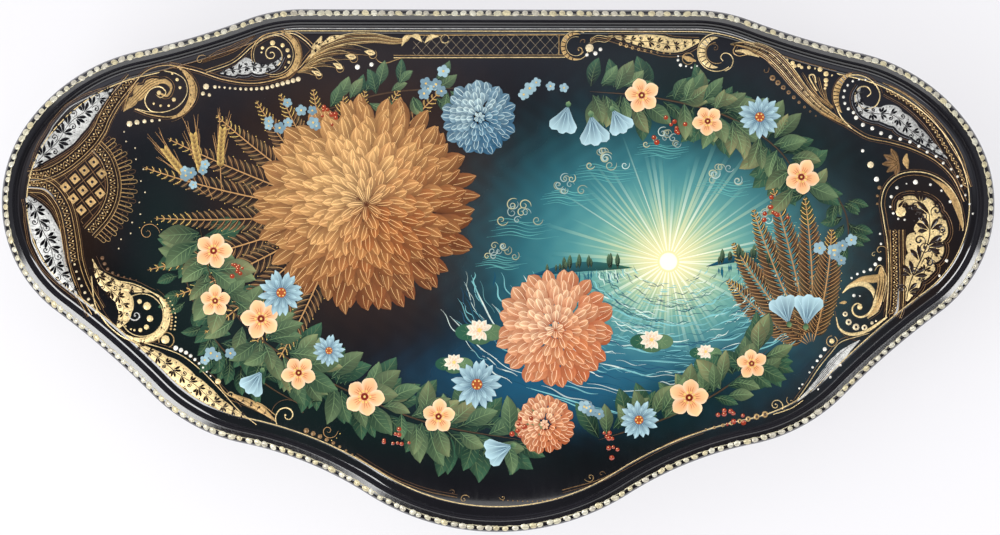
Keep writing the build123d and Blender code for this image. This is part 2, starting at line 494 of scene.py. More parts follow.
def seat_corner(radii, up):
    """The outer corner of a wall's end: a hollow quarter round at stations where a knuckle lies, else eased.

    The hollow is the axis plus the radius times (sine, minus up times cosine). The corner runs up to the end
    and in along it, cut by a small ease.
    """
    turn = np.linspace(0, np.pi / 2, 9)
    hollow = radii[:, None, None] * np.stack([np.sin(turn), -np.cos(turn)], axis=-1)
    run = np.array([0, 0, 0, 0, edge_ease / 3, edge_ease, 0.5 * seat_radius, 0.75 * seat_radius, seat_radius])
    corner = np.where((radii > 0)[:, None, None], hollow, np.stack([run, -run[::-1]], axis=-1))
    return wall_inset + corner[..., 0], parting_height + up * corner[..., 1]


def make_body_wall():
    """The wall: up the outside to the hinge's corner, in along the top and down the inside."""
    along, radii = hinge_stations("wall")
    corner_inset, corner_height = seat_corner(radii, 1)
    low, top = wall_low[2], parting_height
    insets = side_by_side([wall_inset] * 5, corner_inset, [board_inset - edge_ease, board_inset, board_inset])
    heights = side_by_side(np.linspace(low, top - seat_radius - 1.0, 5), corner_height,
                           [top, top - edge_ease, low])
    mesh = ring_sweep("body_wall_lacquered", along, insets, heights)
    new_piece(mesh, "box", [BLACK_LACQUER], ["body_wall"])


def make_lid_skirt():
    """The lid's side: the wall's section turned over, black outside and red inside."""
    along, radii = hinge_stations("lid")
    corner_inset, corner_height = seat_corner(radii, -1)
    low, top = parting_height, rim_bottom
    insets = side_by_side(corner_inset[:, ::-1], [wall_inset] * 4,
                          [board_inset, board_inset, board_inset - edge_ease])
    heights = side_by_side(corner_height[:, ::-1], np.linspace(low + seat_radius + 1.0, top, 4),
                           [top, low + edge_ease, low])
    mesh = ring_sweep("lid_skirt_lacquered", along, insets, heights)
    inside = (wall_inset + 3 * board_inset) / 4
    set_material_by(mesh, lambda middles, normals: edge_distance(middles[:, 0], middles[:, 1]) > inside)
    new_piece(mesh, "lid", [BLACK_LACQUER, RED_LACQUER], ["lid_skirt"])


def make_wall_lining():
    """The red lining, whose upper part steps in to be the lip."""
    top, low = lining_high[2], lining_low[2]
    ease = edge_ease
    insets = [board_inset, board_inset, lip_inset, lip_inset, lip_inset + ease, lining_inset - ease,
              lining_inset, lining_inset]
    heights = [low, parting_height, parting_height, top - ease, top, top, top - ease, low]
    mesh = ring_sweep("wall_lining_lacquered", stations(), insets, heights)
    new_piece(mesh, "box", [RED_LACQUER], ["wall_lining"])


def make_base_moulding():
    """An upright foot under a bevel that leans in to the wall."""
    ease = edge_ease
    bevel_run, bevel_rise = wall_inset - base_inset, base_bevel_top - base_foot_height
    hidden_inset = wall_inset + 0.2
    insets = [base_inset + ease, base_inset, base_inset, base_inset + ease * bevel_run / 2, wall_inset,
              hidden_inset, hidden_inset]
    heights = [0, ease, base_foot_height - ease, base_foot_height + ease * bevel_rise / 2, base_bevel_top,
               base_bevel_top, 0]
    mesh = ring_sweep("base_moulding_lacquered", stations(), insets, heights)
    new_piece(mesh, "box", [BLACK_LACQUER], ["base_moulding"])


def make_bottom_board():
    """The board: red on top, black beneath."""
    scales = np.linspace(0.1, 1.0, 10)
    heights = np.repeat([board_low[2], board_high[2]], 10)
    mesh = plate("bottom_board_lacquered", stations(), board_inset, np.append(scales, scales[::-1]), heights)
    set_material_by(mesh, lambda middles, normals: normals[:, 2] < 0.5)
    new_piece(mesh, "box", [RED_LACQUER, BLACK_LACQUER], ["bottom_board"])


def make_lid_rim():
    """The rim: an eased nose, the round roll, and the fall into the groove."""
    turn = math.asin(crest_inset / roll_radius)
    roll = crest_inset - roll_radius * np.sin(np.linspace(turn, 0, 20))
    fall = np.linspace(crest_inset, groove_inset, 7)[1:]
    insets = np.concatenate([[groove_inset, roll_foot_inset, roll_foot_inset / 3], roll, fall])
    heights = np.concatenate([[rim_bottom, rim_bottom, rim_bottom + roll_nose_height * 0.6],
                              lid_height(np.concatenate([roll, fall]))])
    mesh = ring_sweep("lid_rim_lacquered", stations(0.8), insets, heights)
    new_piece(mesh, "lid", [RIM_LACQUER], ["lid_rim"])


def paint_vertices(mesh, colours):
    """Puts a colour on each vertex, read by the materials as Paint."""
    layer = mesh.color_attributes.new("Paint", "FLOAT_COLOR", "POINT")
    layer.data.foreach_set("color", colours.astype(np.float32).ravel())


def set_bake_map(mesh, places_on_map):
    """Puts each corner of the faces at its place on the bake map."""
    bake_map = mesh.uv_layers.new(name="OFBake")
    bake_map.data.foreach_set("uv", places_on_map.astype(np.float32).ravel())


def map_from_above(mesh, places):
    """The bake map of a plate: its top seen from above in the lower half, its underside in the upper half."""
    loops = read(mesh.loops, "vertex_index")[:, 0].astype(int)
    sizes, normals = read(mesh.polygons, "loop_total")[:, 0].astype(int), read(mesh.polygons, "normal", 3)
    under = np.repeat(normals[:, 2] < -0.5, sizes)
    share = (places[loops, :2] - panel_low[:2]) / (panel_high[:2] - panel_low[:2])
    set_bake_map(mesh, np.stack([0.01 + 0.98 * share[:, 0], 0.01 + 0.48 * share[:, 1] + 0.5 * under], -1))


def make_lid_panel():
    """The panel: the shoulder out of the groove, the crown, and the flat middle; red beneath."""
    shoulder = np.linspace(groove_inset, shoulder_inset + 1.0, 13)
    crown = np.linspace(shoulder_inset + 1.0, crown_inset, 19)[1:]
    middle_scales = np.linspace(1.0, 0.0, 45)[1:-1]
    under_insets, middle_insets = [crown_inset] * 3 + [groove_inset], [crown_inset] * len(middle_scales)
    insets = np.concatenate([under_insets, shoulder, crown, middle_insets])
    scales = np.concatenate([[0.1, 0.55, 1.0, 1.0], np.ones(len(shoulder) + len(crown)), middle_scales])
    heights = np.append([rim_bottom] * 4, lid_height(insets[4:]))
    mesh = plate("lid_panel_painted", stations(), insets, scales, heights)
    places = read(mesh.vertices, "co", 3) / MM
    paint_vertices(mesh, ground_colour(places[:, 0], places[:, 1]))
    map_from_above(mesh, places)
    set_material_by(mesh, lambda middles, normals: normals[:, 2] < -0.5)
    new_piece(mesh, "lid", [PAINTED_LACQUER, RED_LACQUER], ["lid_panel"])


def make_knuckle(name, body):
    """A knuckle of the hinge: a turned barrel with eased ends, round its bore."""
    low, high = knuckle_boxes[name]
    bore = corners("hinge_plug_left")[1][1] - hinge_y
    middle, half, ease = (low[0] + high[0]) / 2, (high[0] - low[0]) / 2, edge_ease
    along_x = middle + half * np.array([-1, -1, 1, 1, 1, -1]) + ease * np.array([0, 1, -1, 0, 0, 0])
    radius = np.array([seat_radius - ease, seat_radius, seat_radius, seat_radius - ease, bore, bore])
    sides, rings = 48, len(radius)
    turn = np.linspace(0, 2 * np.pi, sides, endpoint=False)[:, None]
    y, z = hinge_y + radius * np.cos(turn), parting_height + radius * np.sin(turn)
    points = np.stack([along_x + 0 * turn, y, z], axis=-1).reshape(-1, 3)
    mesh = new_mesh(f"{name}_lacquered", points, grid_quads(sides, rings, True, True)[:, ::-1])
    new_piece(mesh, body, [BLACK_LACQUER], [name])


def dress_metal():
    """The pin and its plugs keep their own shape and get drawn steel."""
    for name in ("hinge_pin", "hinge_plug_left", "hinge_plug_right"):
        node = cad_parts[name]
        node.data.materials.clear()
        node.data.materials.append(STEEL)


# Curves on the lid

# Where the photograph shows the lid: the pixel of the edge at the middle of the back, the millimetres to a
# pixel, and the small shares by which the picture leans and tilts
back_middle_px = (496.3, 9.5)
pixel_size, lean_share, tilt_share = 0.263, 0.0066, 0.0047
path_step = 0.6


def lid_place(*pixels):
    """Places on the lid of pixels of the photograph, given as x, y, x, y and so on."""
    pixel_x, pixel_y = np.array(pixels, float).reshape(-1, 2).T
    right, up = pixel_x - back_middle_px[0], back_middle_px[1] - pixel_y
    x = pixel_size * (right + lean_share * up)
    y = back_y + pixel_size * (up + tilt_share * right)
    return np.stack([x, y], -1)


def spot(x, y):
    """The place on the lid of one pixel."""
    return lid_place(x, y)[0]


def shares(path):
    """The share of its rows that lies before each row of a path, from 0 to 1."""
    return np.linspace(0, 1, len(path))


def by_share(table, share):
    """Values between those of a table whose entries stand at even shares from 0 to 1."""
    return np.interp(share, shares(table), table)


def towards(degrees):
    """The unit step in a direction."""
    return np.array([math.cos(math.radians(degrees)), math.sin(math.radians(degrees))])


def ahead_of(normal):
    """The heading, in degrees, of a path whose left normal is given."""
    return math.degrees(math.atan2(-normal[0], normal[1]))


def even(path, spacing):
    """A path set out again at even spacing along its length."""
    reach = np.concatenate([[0.0], np.cumsum(np.hypot(*np.diff(path, axis=0).T))])
    steps = np.linspace(0, reach[-1], max(int(round(reach[-1] / spacing)), 2) + 1)
    return np.stack([np.interp(steps, reach, path[:, 0]), np.interp(steps, reach, path[:, 1])], -1)


def through(places):
    """A smooth path through places, by cubics whose slope at a place is half the chord across it."""
    ends = np.concatenate([[2 * places[0] - places[1]], places, [2 * places[-1] - places[-2]]])
    before, start, end, after = (ends[k:len(ends) - 3 + k, None] for k in range(4))
    t = np.linspace(0, 1, 16, endpoint=False)[None, :, None]
    bow = 2 * before - 5 * start + 4 * end - after + t * (3 * (start - end) + after - before)
    curve = start + 0.5 * t * ((end - before) + t * bow)
    return even(np.concatenate([curve.reshape(-1, 2), places[-1:]]), path_step)


def drawn(*pixels):
    """A smooth path through pixels of the photograph."""
    return through(lid_place(*pixels))


def spiral(centre, first_radius, last_radius, start, turn, spacing=0.35):
    """A path round a centre, from a start angle through a turn: its radius changes by even ratios."""
    share = np.linspace(0, 1, 240)
    angle = np.radians(start + turn * share)
    radius = first_radius * (last_radius / first_radius) ** share
    return even(np.asarray(centre) + radius[:, None] * np.stack([np.cos(angle), np.sin(angle)], -1), spacing)


def bend(root, heading, length, turn=0.0, rows=9):
    """An arc that leaves a root at a heading and turns evenly along its length."""
    angle = np.radians(heading + turn * np.linspace(0, 1, rows))
    steps = np.stack([np.cos(angle), np.sin(angle)], -1) * length / (rows - 1)
    return np.asarray(root) + np.concatenate([[[0.0, 0.0]], np.cumsum((steps[1:] + steps[:-1]) / 2, axis=0)])


def length_of(path):
    """The length along a path."""
    return np.hypot(*np.diff(path, axis=0).T).sum()


def normals_of(path):
    """The unit normal to the left of a path at each of its points."""
    tangent = np.gradient(path, axis=0)
    tangent /= np.maximum(np.hypot(*tangent.T), 1e-9)[:, None]
    return np.stack([-tangent[:, 1], tangent[:, 0]], -1)


def beside(path, offset):
    """The path moved to its left by an offset, the same all along or one for each point."""
    return path + normals_of(path) * np.broadcast_to(offset, len(path))[:, None]


def at_share(path, share):
    """The point of an even path at a share of its length, and the unit normal there."""
    index = np.clip(np.asarray(share) * (len(path) - 1), 0, len(path) - 1)
    steps = np.arange(len(path))
    return [np.stack([np.interp(index, steps, part[:, 0]), np.interp(index, steps, part[:, 1])], -1)
            for part in (path, normals_of(path))]


# Paint

rng = np.random.default_rng(11)


def opaque(tints):
    """Colours kept between black and white, with nothing of what lies under them showing through."""
    tints = np.clip(tints, 0, 1)
    tints[..., 3] = 1
    return tints


def shade(colour, amount):
    """A colour made lighter or darker by a share."""
    return tuple(opaque(np.array(colour) * (1 + amount)))


def across_steps(columns):
    """Places across a stroke from 1 to -1. A wide one stays flat, with its last step near the edge."""
    if columns == 3:
        return np.array([1.0, 0.0, -1.0])
    return np.concatenate([[1.0], np.linspace(0.94, -0.94, columns - 2), [-1.0]])


def joined_faces(faces, corner_count):
    """Faces gathered in several arrays, or none at all, as one array."""
    return np.concatenate(faces + [np.empty((0, corner_count), int)])


class Paint:
    """Brush strokes of one paint, gathered into one piece.

    A stroke is a closed low ridge: rows of points across its path, raised in the middle and sunk at both
    edges, with a flat underside and flat ends. A dot is a dome. Each has its own cell of the bake map.
    A stroke lies at the paint's own level over the surface unless it says another.
    """

    def __init__(self, surface=on_lid, sink=0.05, over=0.0):
        self.surface, self.sink, self.over = surface, sink, over
        self.places, self.lifts, self.tints, self.maps, self.cells = [], [], [], [], []
        self.quads, self.triangles, self.hidden_quads, self.hidden_triangles = [], [], [], []
        self.points = self.strokes = 0

    def keep(self, places, lifts, tints, maps, cells):
        """Adds the points of one or more strokes to the piece."""
        self.places.append(places)
        self.lifts.append(lifts)
        self.tints.append(np.broadcast_to(tints, (len(places), 4)))
        self.maps.append(maps)
        self.cells.append(cells)
        self.points += len(places)

    def blade(self, path, widths_left, widths_right, tints, over=None, dome=0.08, columns=3):
        """A stroke with its own widths to the left and right of a path, and tints by row and column."""
        over = self.over if over is None else over
        rows = len(path)
        across = across_steps(columns)
        left, right = (np.broadcast_to(width, rows)[:, None] for width in (widths_left, widths_right))
        offset = np.where(across > 0, left, right) * across
        places = path[:, None] + normals_of(path)[:, None] * offset[..., None]
        lifts = np.where(np.abs(across) == 1, over - self.sink, over + dome * (1 - across ** 2) + 0.01)
        lifts = np.broadcast_to(lifts, (rows, columns))
        maps = np.stack(np.meshgrid(np.linspace(0, 1, rows), np.linspace(0, 1, columns), indexing="ij"), -1)
        left_foot = self.points + np.arange(rows) * columns
        right_foot = left_foot + columns - 1
        underside = np.stack([left_foot[:-1], left_foot[1:], right_foot[1:], right_foot[:-1]], 1)
        self.quads.append(self.points + grid_quads(rows, columns))
        self.hidden_quads.append(underside)
        fan = np.arange(1, columns - 1)
        for first, turned in ((left_foot[0], True), (left_foot[-1], False)):
            caps = np.stack([np.full_like(fan, first), first + fan, first + fan + 1], 1)
            self.hidden_triangles.append(caps[:, ::-1] if turned else caps)
        tints = np.broadcast_to(tints, (rows, columns, 4)).reshape(-1, 4)
        cells = np.full(rows * columns, self.strokes)
        self.keep(places.reshape(-1, 2), lifts.ravel(), tints, maps.reshape(-1, 2), cells)
        self.strokes += 1

    def line(self, path, width, colour, over=None, taper=0.0, jitter=0.12, dome=None):
        """A thin ridge along a path. A taper of 0 keeps its width to the ends. 1 brings both to a point."""
        share = shares(path)
        swell = np.maximum(np.sin(np.pi * share), 0.0) ** taper if taper else np.ones(len(path))
        half = np.maximum(np.broadcast_to(width, len(path)) * swell / 2, 0.03)
        wave = 0.6 * np.sin(share * length_of(path) * 1.3 + rng.uniform(0, 6))
        flow = 1 + jitter * (wave + rng.uniform(-1, 1))
        dome = min(0.09, 0.25 * float(np.max(half)) + 0.02) if dome is None else dome
        self.blade(path, half, half, opaque(np.array(colour) * flow[:, None])[:, None], over, dome)

    def dots(self, centres, radii, colour, over=None, stretch=1.0, heading=0.0, sides=8, jitter=0.1,
             dome=0.45):
        """Domes: a foot ring sunk in the surface, a shoulder ring and a top, closed beneath by a pole."""
        over = self.over if over is None else over
        centres = np.asarray(centres, float).reshape(-1, 2)
        count = len(centres)
        radii, stretch, heading = (np.broadcast_to(value, count) for value in (radii, stretch, heading))
        turn = np.arange(sides) * 2 * np.pi / sides
        circle = np.stack([np.cos(turn), np.sin(turn)], -1)
        unit = np.concatenate([circle, circle * 0.68, [[0, 0], [0, 0]]])
        reach = unit[None] * radii[:, None, None] * np.stack([stretch, np.ones(count)], -1)[:, None]
        cosine, sine = np.cos(heading)[:, None], np.sin(heading)[:, None]
        turned_x = reach[..., 0] * cosine - reach[..., 1] * sine
        turned_y = reach[..., 0] * sine + reach[..., 1] * cosine
        places = centres[:, None] + np.stack([turned_x, turned_y], -1)
        height = np.minimum(dome * radii, 0.22)[:, None] + 0.01
        sunk = np.full((count, sides), over - self.sink)
        shoulder, top_lift = over + np.repeat(height * 0.8, sides, 1), over + height
        lifts = np.concatenate([sunk, shoulder, top_lift, sunk[:, :1]], axis=1)
        tints = opaque(np.array(colour).reshape(-1, 4) * (1 + jitter * rng.uniform(-1, 1, (count, 1))))
        ring, corners_of_dot = np.arange(sides), 2 * sides + 2
        after, top, foot = (ring + 1) % sides, np.full(sides, 2 * sides), np.full(sides, 2 * sides + 1)
        starts = self.points + np.arange(count)[:, None, None] * corners_of_dot
        for faces, rows in ((self.quads, (ring, after, after + sides, ring + sides)),
                            (self.triangles, (ring + sides, after + sides, top)),
                            (self.hidden_triangles, (after, ring, foot))):
            faces.append((starts + np.stack(rows, 1)).reshape(-1, len(rows)))
        maps = np.tile(0.5 + 0.45 * unit, (count, 1))
        cells = np.repeat(self.strokes + np.arange(count), corners_of_dot)
        self.keep(places.reshape(-1, 2), lifts.ravel(), np.repeat(tints, corners_of_dot, axis=0), maps, cells)
        self.strokes += count

    def make(self, name, body, material):
        """The piece: faces from all strokes, colours on the vertices, and the bake map cell by cell."""
        places = np.concatenate(self.places)
        vertices = self.surface(places[:, 0], places[:, 1], np.concatenate(self.lifts))
        seen_quads, seen_triangles = joined_faces(self.quads, 4), joined_faces(self.triangles, 3)
        hidden_quads = joined_faces(self.hidden_quads, 4)
        hidden_triangles = joined_faces(self.hidden_triangles, 3)
        mesh = new_mesh(name, vertices, np.concatenate([seen_quads, hidden_quads]),
                        np.concatenate([seen_triangles, hidden_triangles]))
        paint_vertices(mesh, np.concatenate(self.tints))
        cells_in_row = int(math.ceil(math.sqrt(self.strokes)))
        cells = np.concatenate(self.cells)
        corner = np.stack([cells % cells_in_row, cells // cells_in_row], -1)
        inside = (corner + 0.12 + 0.76 * np.concatenate(self.maps)) / cells_in_row
        hidden = (corner + 0.06) / cells_in_row
        faces_on_map = ((seen_quads, inside), (hidden_quads, hidden), (seen_triangles, inside),
                        (hidden_triangles, hidden))
        set_bake_map(mesh, np.concatenate([where[faces.ravel()] for faces, where in faces_on_map]))
        new_piece(mesh, body, [material], sharp_degrees=60.0)


# The border's ornament

black = linear(9, 8, 10)
gold_light, gold, gold_deep = linear(230, 204, 148), linear(192, 158, 104), linear(134, 102, 64)
copper, copper_dark = linear(106, 76, 50), linear(32, 21, 15)
silver, silver_dim = linear(196, 196, 192), linear(140, 140, 142)
pearl, pearl_warm = linear(240, 236, 224), linear(226, 208, 170)

LEAF_OVER, INK_OVER = 0.02, 0.06
gilding, silvering, pearls, ink = Paint(), Paint(), Paint(), Paint(over=INK_OVER)


def gild(width, colour, *pixels, taper=0.0):
    """A gold line through pixels of the photograph."""
    gilding.line(drawn(*pixels), width, colour, taper=taper)


def gild_beside(path, offsets, widths, colours, taper=0.0):
    """Gold lines that run together beside a path."""
    for offset, width, colour in zip(offsets, widths, colours):
        gilding.line(beside(path, offset), width, colour, taper=taper)


def gild_round(centre, radius, start, turn, width, colour, last_radius=None):
    """A gold line round a centre."""
    gilding.line(spiral(centre, radius, last_radius or radius, start, turn), width, colour)


def set_pearls(radii, colour, *pixels):
    """Pearls at pixels of the photograph."""
    pearls.dots(lid_place(*pixels), radii, colour)


def draw_braid(path, half_width, pitch, edges=True):
    """A braid: one strand that swings from side to side, a darker one against it, a grain in each loop."""
    reach = np.linspace(0, length_of(path), len(path))
    swing = (half_width - 0.45) * np.sin(2 * np.pi * reach / pitch)
    ink.blade(path, half_width, half_width, copper_dark, 0.0, 0.0, 5)
    gilding.line(beside(path, -0.75 * swing), 0.28, copper)
    gilding.line(beside(path, swing), 0.34, gold)
    count = int(2 * reach[-1] / pitch)
    middle, normal = at_share(path, (np.arange(count) + 0.5) * pitch / 2 / reach[-1])
    side = np.where(np.arange(count) % 2 == 0, -1.0, 1.0)[:, None]
    gilding.dots(middle + normal * side * (half_width - 0.55) * 0.55, 0.26, gold_light, sides=6)
    if edges:
        gild_beside(path, (half_width, half_width + 0.55, -half_width, -half_width - 0.55),
                    (0.3, 0.22, 0.3, 0.22), (gold, copper, gold, copper))


def draw_beads(path, count, first_radius, last_radius, colour=pearl, rings=False):
    """A row of beads of steadily changing size. Rings have a dark eye."""
    centres, _ = at_share(path, np.linspace(0, 1, count))
    radii = np.linspace(first_radius, last_radius, count)
    pearls.dots(centres, radii, colour)
    if rings:
        ink.dots(centres, radii * 0.45, linear(60, 40, 28), over=0.2)


def draw_curl(x, y, radius, start, turn, width, colour):
    """A curl round a pixel that winds in to a ball."""
    path = spiral(spot(x, y), radius, radius * 0.16, start, turn)
    gilding.line(path, width * (0.35 + 0.65 * np.sin(np.pi * (0.15 + 0.75 * shares(path)))), colour)
    gilding.dots(path[-1:], width * 0.62, colour)


def draw_drop(root, heading, length, width, colour, turn=20.0, paint=ink, over=None):
    """A drop: narrow at its root, round and widest near its end."""
    half = width / 2 * np.array([0.12, 0.4, 0.72, 0.95, 1.0, 0.72, 0.15])
    paint.blade(bend(root, heading, length, turn, 7), half, half, colour, over, 0.02, 5)


def draw_vine(path, count, reach, width, colour, first_side=1):
    """Inked foliage along a leaf: a stem that sways, and off both its sides curls, drops and dots in turn."""
    share = shares(path)
    stem = beside(path, 0.15 * reach * np.sin(share * count * 0.8 + first_side) * np.sin(np.pi * share))
    ink.line(stem, width * np.linspace(1.2, 0.5, len(path)), colour, taper=0.25)
    for number in range(2 * count // 3 * 2):
        share = (number // 2 + 0.5) / (2 * count // 3 + 0.3)
        root, normal = at_share(stem, share)
        side = first_side * (1 if number % 2 == 0 else -1)
        ahead = ahead_of(normal)
        size = reach * math.sin(math.pi * (0.2 + 0.7 * share)) ** 0.8 * rng.uniform(0.85, 1.1)
        motif = (number // 2 + number % 2) % 3
        if motif == 0:
            middle = root + size * (0.6 * side * normal + 0.25 * towards(ahead))
            curl = spiral(middle, 0.5 * size, 0.1 * size, ahead - side * 130, side * 420, 0.2)
            ink.line(curl, width * np.linspace(0.6, 1.3, len(curl)), colour)
            ink.dots(curl[-1:], 0.8 * width, colour)
        else:
            for lean, long in ((22, 1.05), (52, 0.95), (84, 0.7))[: 4 - motif]:
                heading = ahead + side * lean
                foot = root + 0.18 * size * towards(heading)
                draw_drop(foot, heading, size * long, size * 0.34 + 0.06, colour, side * 24)
        ink.dots(root + size * (1.05 * side * normal - 0.2 * towards(ahead)), 0.55 * width, colour)


def draw_folds(path, left, right, count, width=0.3, colours=(gold_light, gold, gold_deep)):
    """Gold lines that spread between the edges of a leaf and gather again, tone after tone."""
    for number, place in enumerate(np.linspace(1, -1, count)):
        line = beside(path, place * by_share(left if place > 0 else right, shares(path)))
        inner = 0 < number < count - 1
        first, last = (int(len(path) * rng.uniform(0, 0.1 * inner)) for _ in range(2))
        gilding.line(line[first: len(line) - last], width, colours[number % len(colours)], taper=0.25)


def draw_plume(path, half):
    """A plume: gold edges, a hatch of gold lines, and a drop with an eye at its tip inside a hook."""
    widths = half * np.interp(shares(path), (0, 0.3, 0.75, 1), (0.15, 0.6, 1.0, 0.55))
    for place, reach, colour in ((1, 1, gold_light), (-1, 1, gold), (0.5, 0.75, gold),
                                 (0.12, 0.85, gold_deep), (-0.25, 0.65, gold_light), (-0.62, 0.8, gold_deep)):
        line = beside(path, place * widths)[: int(reach * len(path))]
        gilding.line(line, 0.27 if reach == 1 else 0.22, colour, taper=0.25)
    tip, heading = path[-1], math.degrees(math.atan2(*(path[-1] - path[-5])[::-1]))
    draw_drop(tip - 2.2 * towards(heading), heading, 2.9, 1.25 * half, gold_light, 0.0, gilding, LEAF_OVER)
    ink.line(bend(tip - 1.2 * towards(heading), heading, 1.3, 0, 4), 0.24, copper_dark)
    hook = spiral(tip + 0.5 * towards(heading - 90), 1.1 * half, 0.5 * half, heading + 70, -330)
    gilding.line(hook, 0.26, gold, taper=0.3)


def draw_leaf(path, left, right, colour, lobes=0, depth=0.25, paint=gilding, edge_colour=None, columns=7):
    """A leaf filled with metal: widths by share either side of its spine, with round lobes along both edges.

    A width is its table's value at the share, times 1 less a depth at each notch between two lobes.
    """
    share = shares(path)
    notch = 1 - depth * (1 - np.abs(np.sin(np.pi * (lobes * share + 0.001)))) ** 2 if lobes else 1.0
    widths = [by_share(table, share) * notch for table in (left, right)]
    across = np.abs(across_steps(columns))[None, :, None]
    edge_colour = edge_colour or shade(colour, -0.28)
    drift = 1 + 0.12 * np.sin(share * 9 + rng.uniform(0, 6))[:, None, None]
    tints = opaque((np.array(colour) * (1 - across ** 3) + np.array(edge_colour) * across ** 3) * drift)
    paint.blade(path, *(np.maximum(width, 0.04) for width in widths), tints, LEAF_OVER, 0.025, columns)
    return [beside(path, widths[0]), beside(path, -widths[1])]


def draw_even_leaf(widths, colour, *pixels):
    """A gilded leaf through pixels that is as wide to the left as to the right."""
    draw_leaf(drawn(*pixels), widths, widths, colour)


def draw_crescent(centre, radius, thickness, start, turn, colour, ribs=0):
    """A crescent on an arc round a centre, thick in the middle, with dark ribs across or a vine along it."""
    path = spiral(centre, radius, radius, start, turn)
    half = np.maximum(thickness / 2 * np.sin(np.linspace(0, np.pi, len(path))) ** 0.7, 0.04)
    gilding.blade(path, half, half, colour, LEAF_OVER, 0.07, 5)
    if not ribs:
        draw_vine(path, 11, 0.34 * thickness, 0.15, copper_dark)
        outer = spiral(centre, radius + 0.62 * thickness, radius + 0.5 * thickness, start, turn)
        gilding.line(outer, 0.24, gold_deep, taper=0.2)
    for share in np.linspace(0.16, 0.84, ribs):
        middle, normal = at_share(path, share)
        reach = thickness * 0.42 * math.sin(math.pi * share) ** 0.7
        rib = np.linspace(middle + normal * reach, middle - normal * reach, 4)
        ink.line(rib, 0.32, copper_dark, over=INK_OVER + 0.04)


def draw_comb(path, count, reach, width):
    """Narrow loops that stand out from a path like the teeth of a comb, with a dot past each end."""
    turn = np.linspace(0, np.pi, 7)[:, None]
    for number, share in enumerate((np.arange(count) + 0.5) / count):
        foot, normal = at_share(path, share)
        along = np.array([normal[1], -normal[0]])
        tall = reach * (0.72 + 0.28 * math.sin(math.pi * share)) * (1.0 if number % 2 else 0.82)
        end = foot + normal * (tall - width / 2)
        loop = end + width / 2 * (np.cos(turn) * along + np.sin(turn) * normal)
        tooth = np.concatenate([[foot + along * width / 2], loop, [foot - along * width / 2]])
        gilding.line(even(tooth, 0.4), 0.24, gold if number % 3 else copper)
        gilding.dots(foot + normal * (tall * 0.55), 0.16, copper, sides=6)
        if number % 2:
            pearls.dots(foot + normal * (reach + 0.9 + 1.1 * (number % 4 == 1)), 0.26, pearl_warm, sides=6)


def edge_path(start, end, inset):
    """A path beside the lid's edge, clockwise between two lengths from the middle of the back."""
    x, y, normal_x, normal_y = edge_at(np.arange(start, end, 0.7))
    return np.stack([x + normal_x * inset, y + normal_y * inset], -1)


def inside_outline(places, outline):
    """Which places lie inside a closed outline: those from which a ray crosses it an odd number of times."""
    x, y = places[..., 0, None], places[..., 1, None]
    start, end = outline, np.roll(outline, -1, axis=0)
    spans = (start[:, 1] > y) != (end[:, 1] > y)
    rise = np.where(end[:, 1] == start[:, 1], 1e-9, end[:, 1] - start[:, 1])
    crossing = start[:, 0] + (y - start[:, 1]) / rise * (end[:, 0] - start[:, 0])
    return (np.sum(spans & (x < crossing), axis=-1) % 2) == 1


def draw_net(outline, origin, along, step, width, colour):
    """Straight lines along a vector, a step apart from an origin, cut off where they leave an outline."""
    reach = np.arange(-30, 30, 0.25)[:, None] * along / np.hypot(*along)
    for number in range(-50, 51):
        places = origin + number * step + reach
        within = np.flatnonzero(inside_outline(places, outline))
        for run in np.split(within, np.flatnonzero(np.diff(within) > 1) + 1):
            if len(run) > 3:
                gilding.line(even(places[run], 0.8), width, colour, jitter=0.05)


def draw_panel_edge():
    """The thin gold line along the panel's shoulder, and a paler one outside it along the back that is partly
    a painted highlight.
    """
    # The silver line at inset 5.1 along the back is partly a painted highlight on the shoulder's edge.
    for start, end, inset, width, colour in (
            (92, 2 * half_edge - 92, 6.75, 0.42, gold_light), (70, 92, 6.1, 0.34, gold_deep),
            (-92, -60, 6.4, 0.3, gold_deep), (-57, 70, 5.1, 0.34, silver), (-57, 70, 5.75, 0.34, gold_light)):
        gilding.line(edge_path(start, end, inset), width, colour)


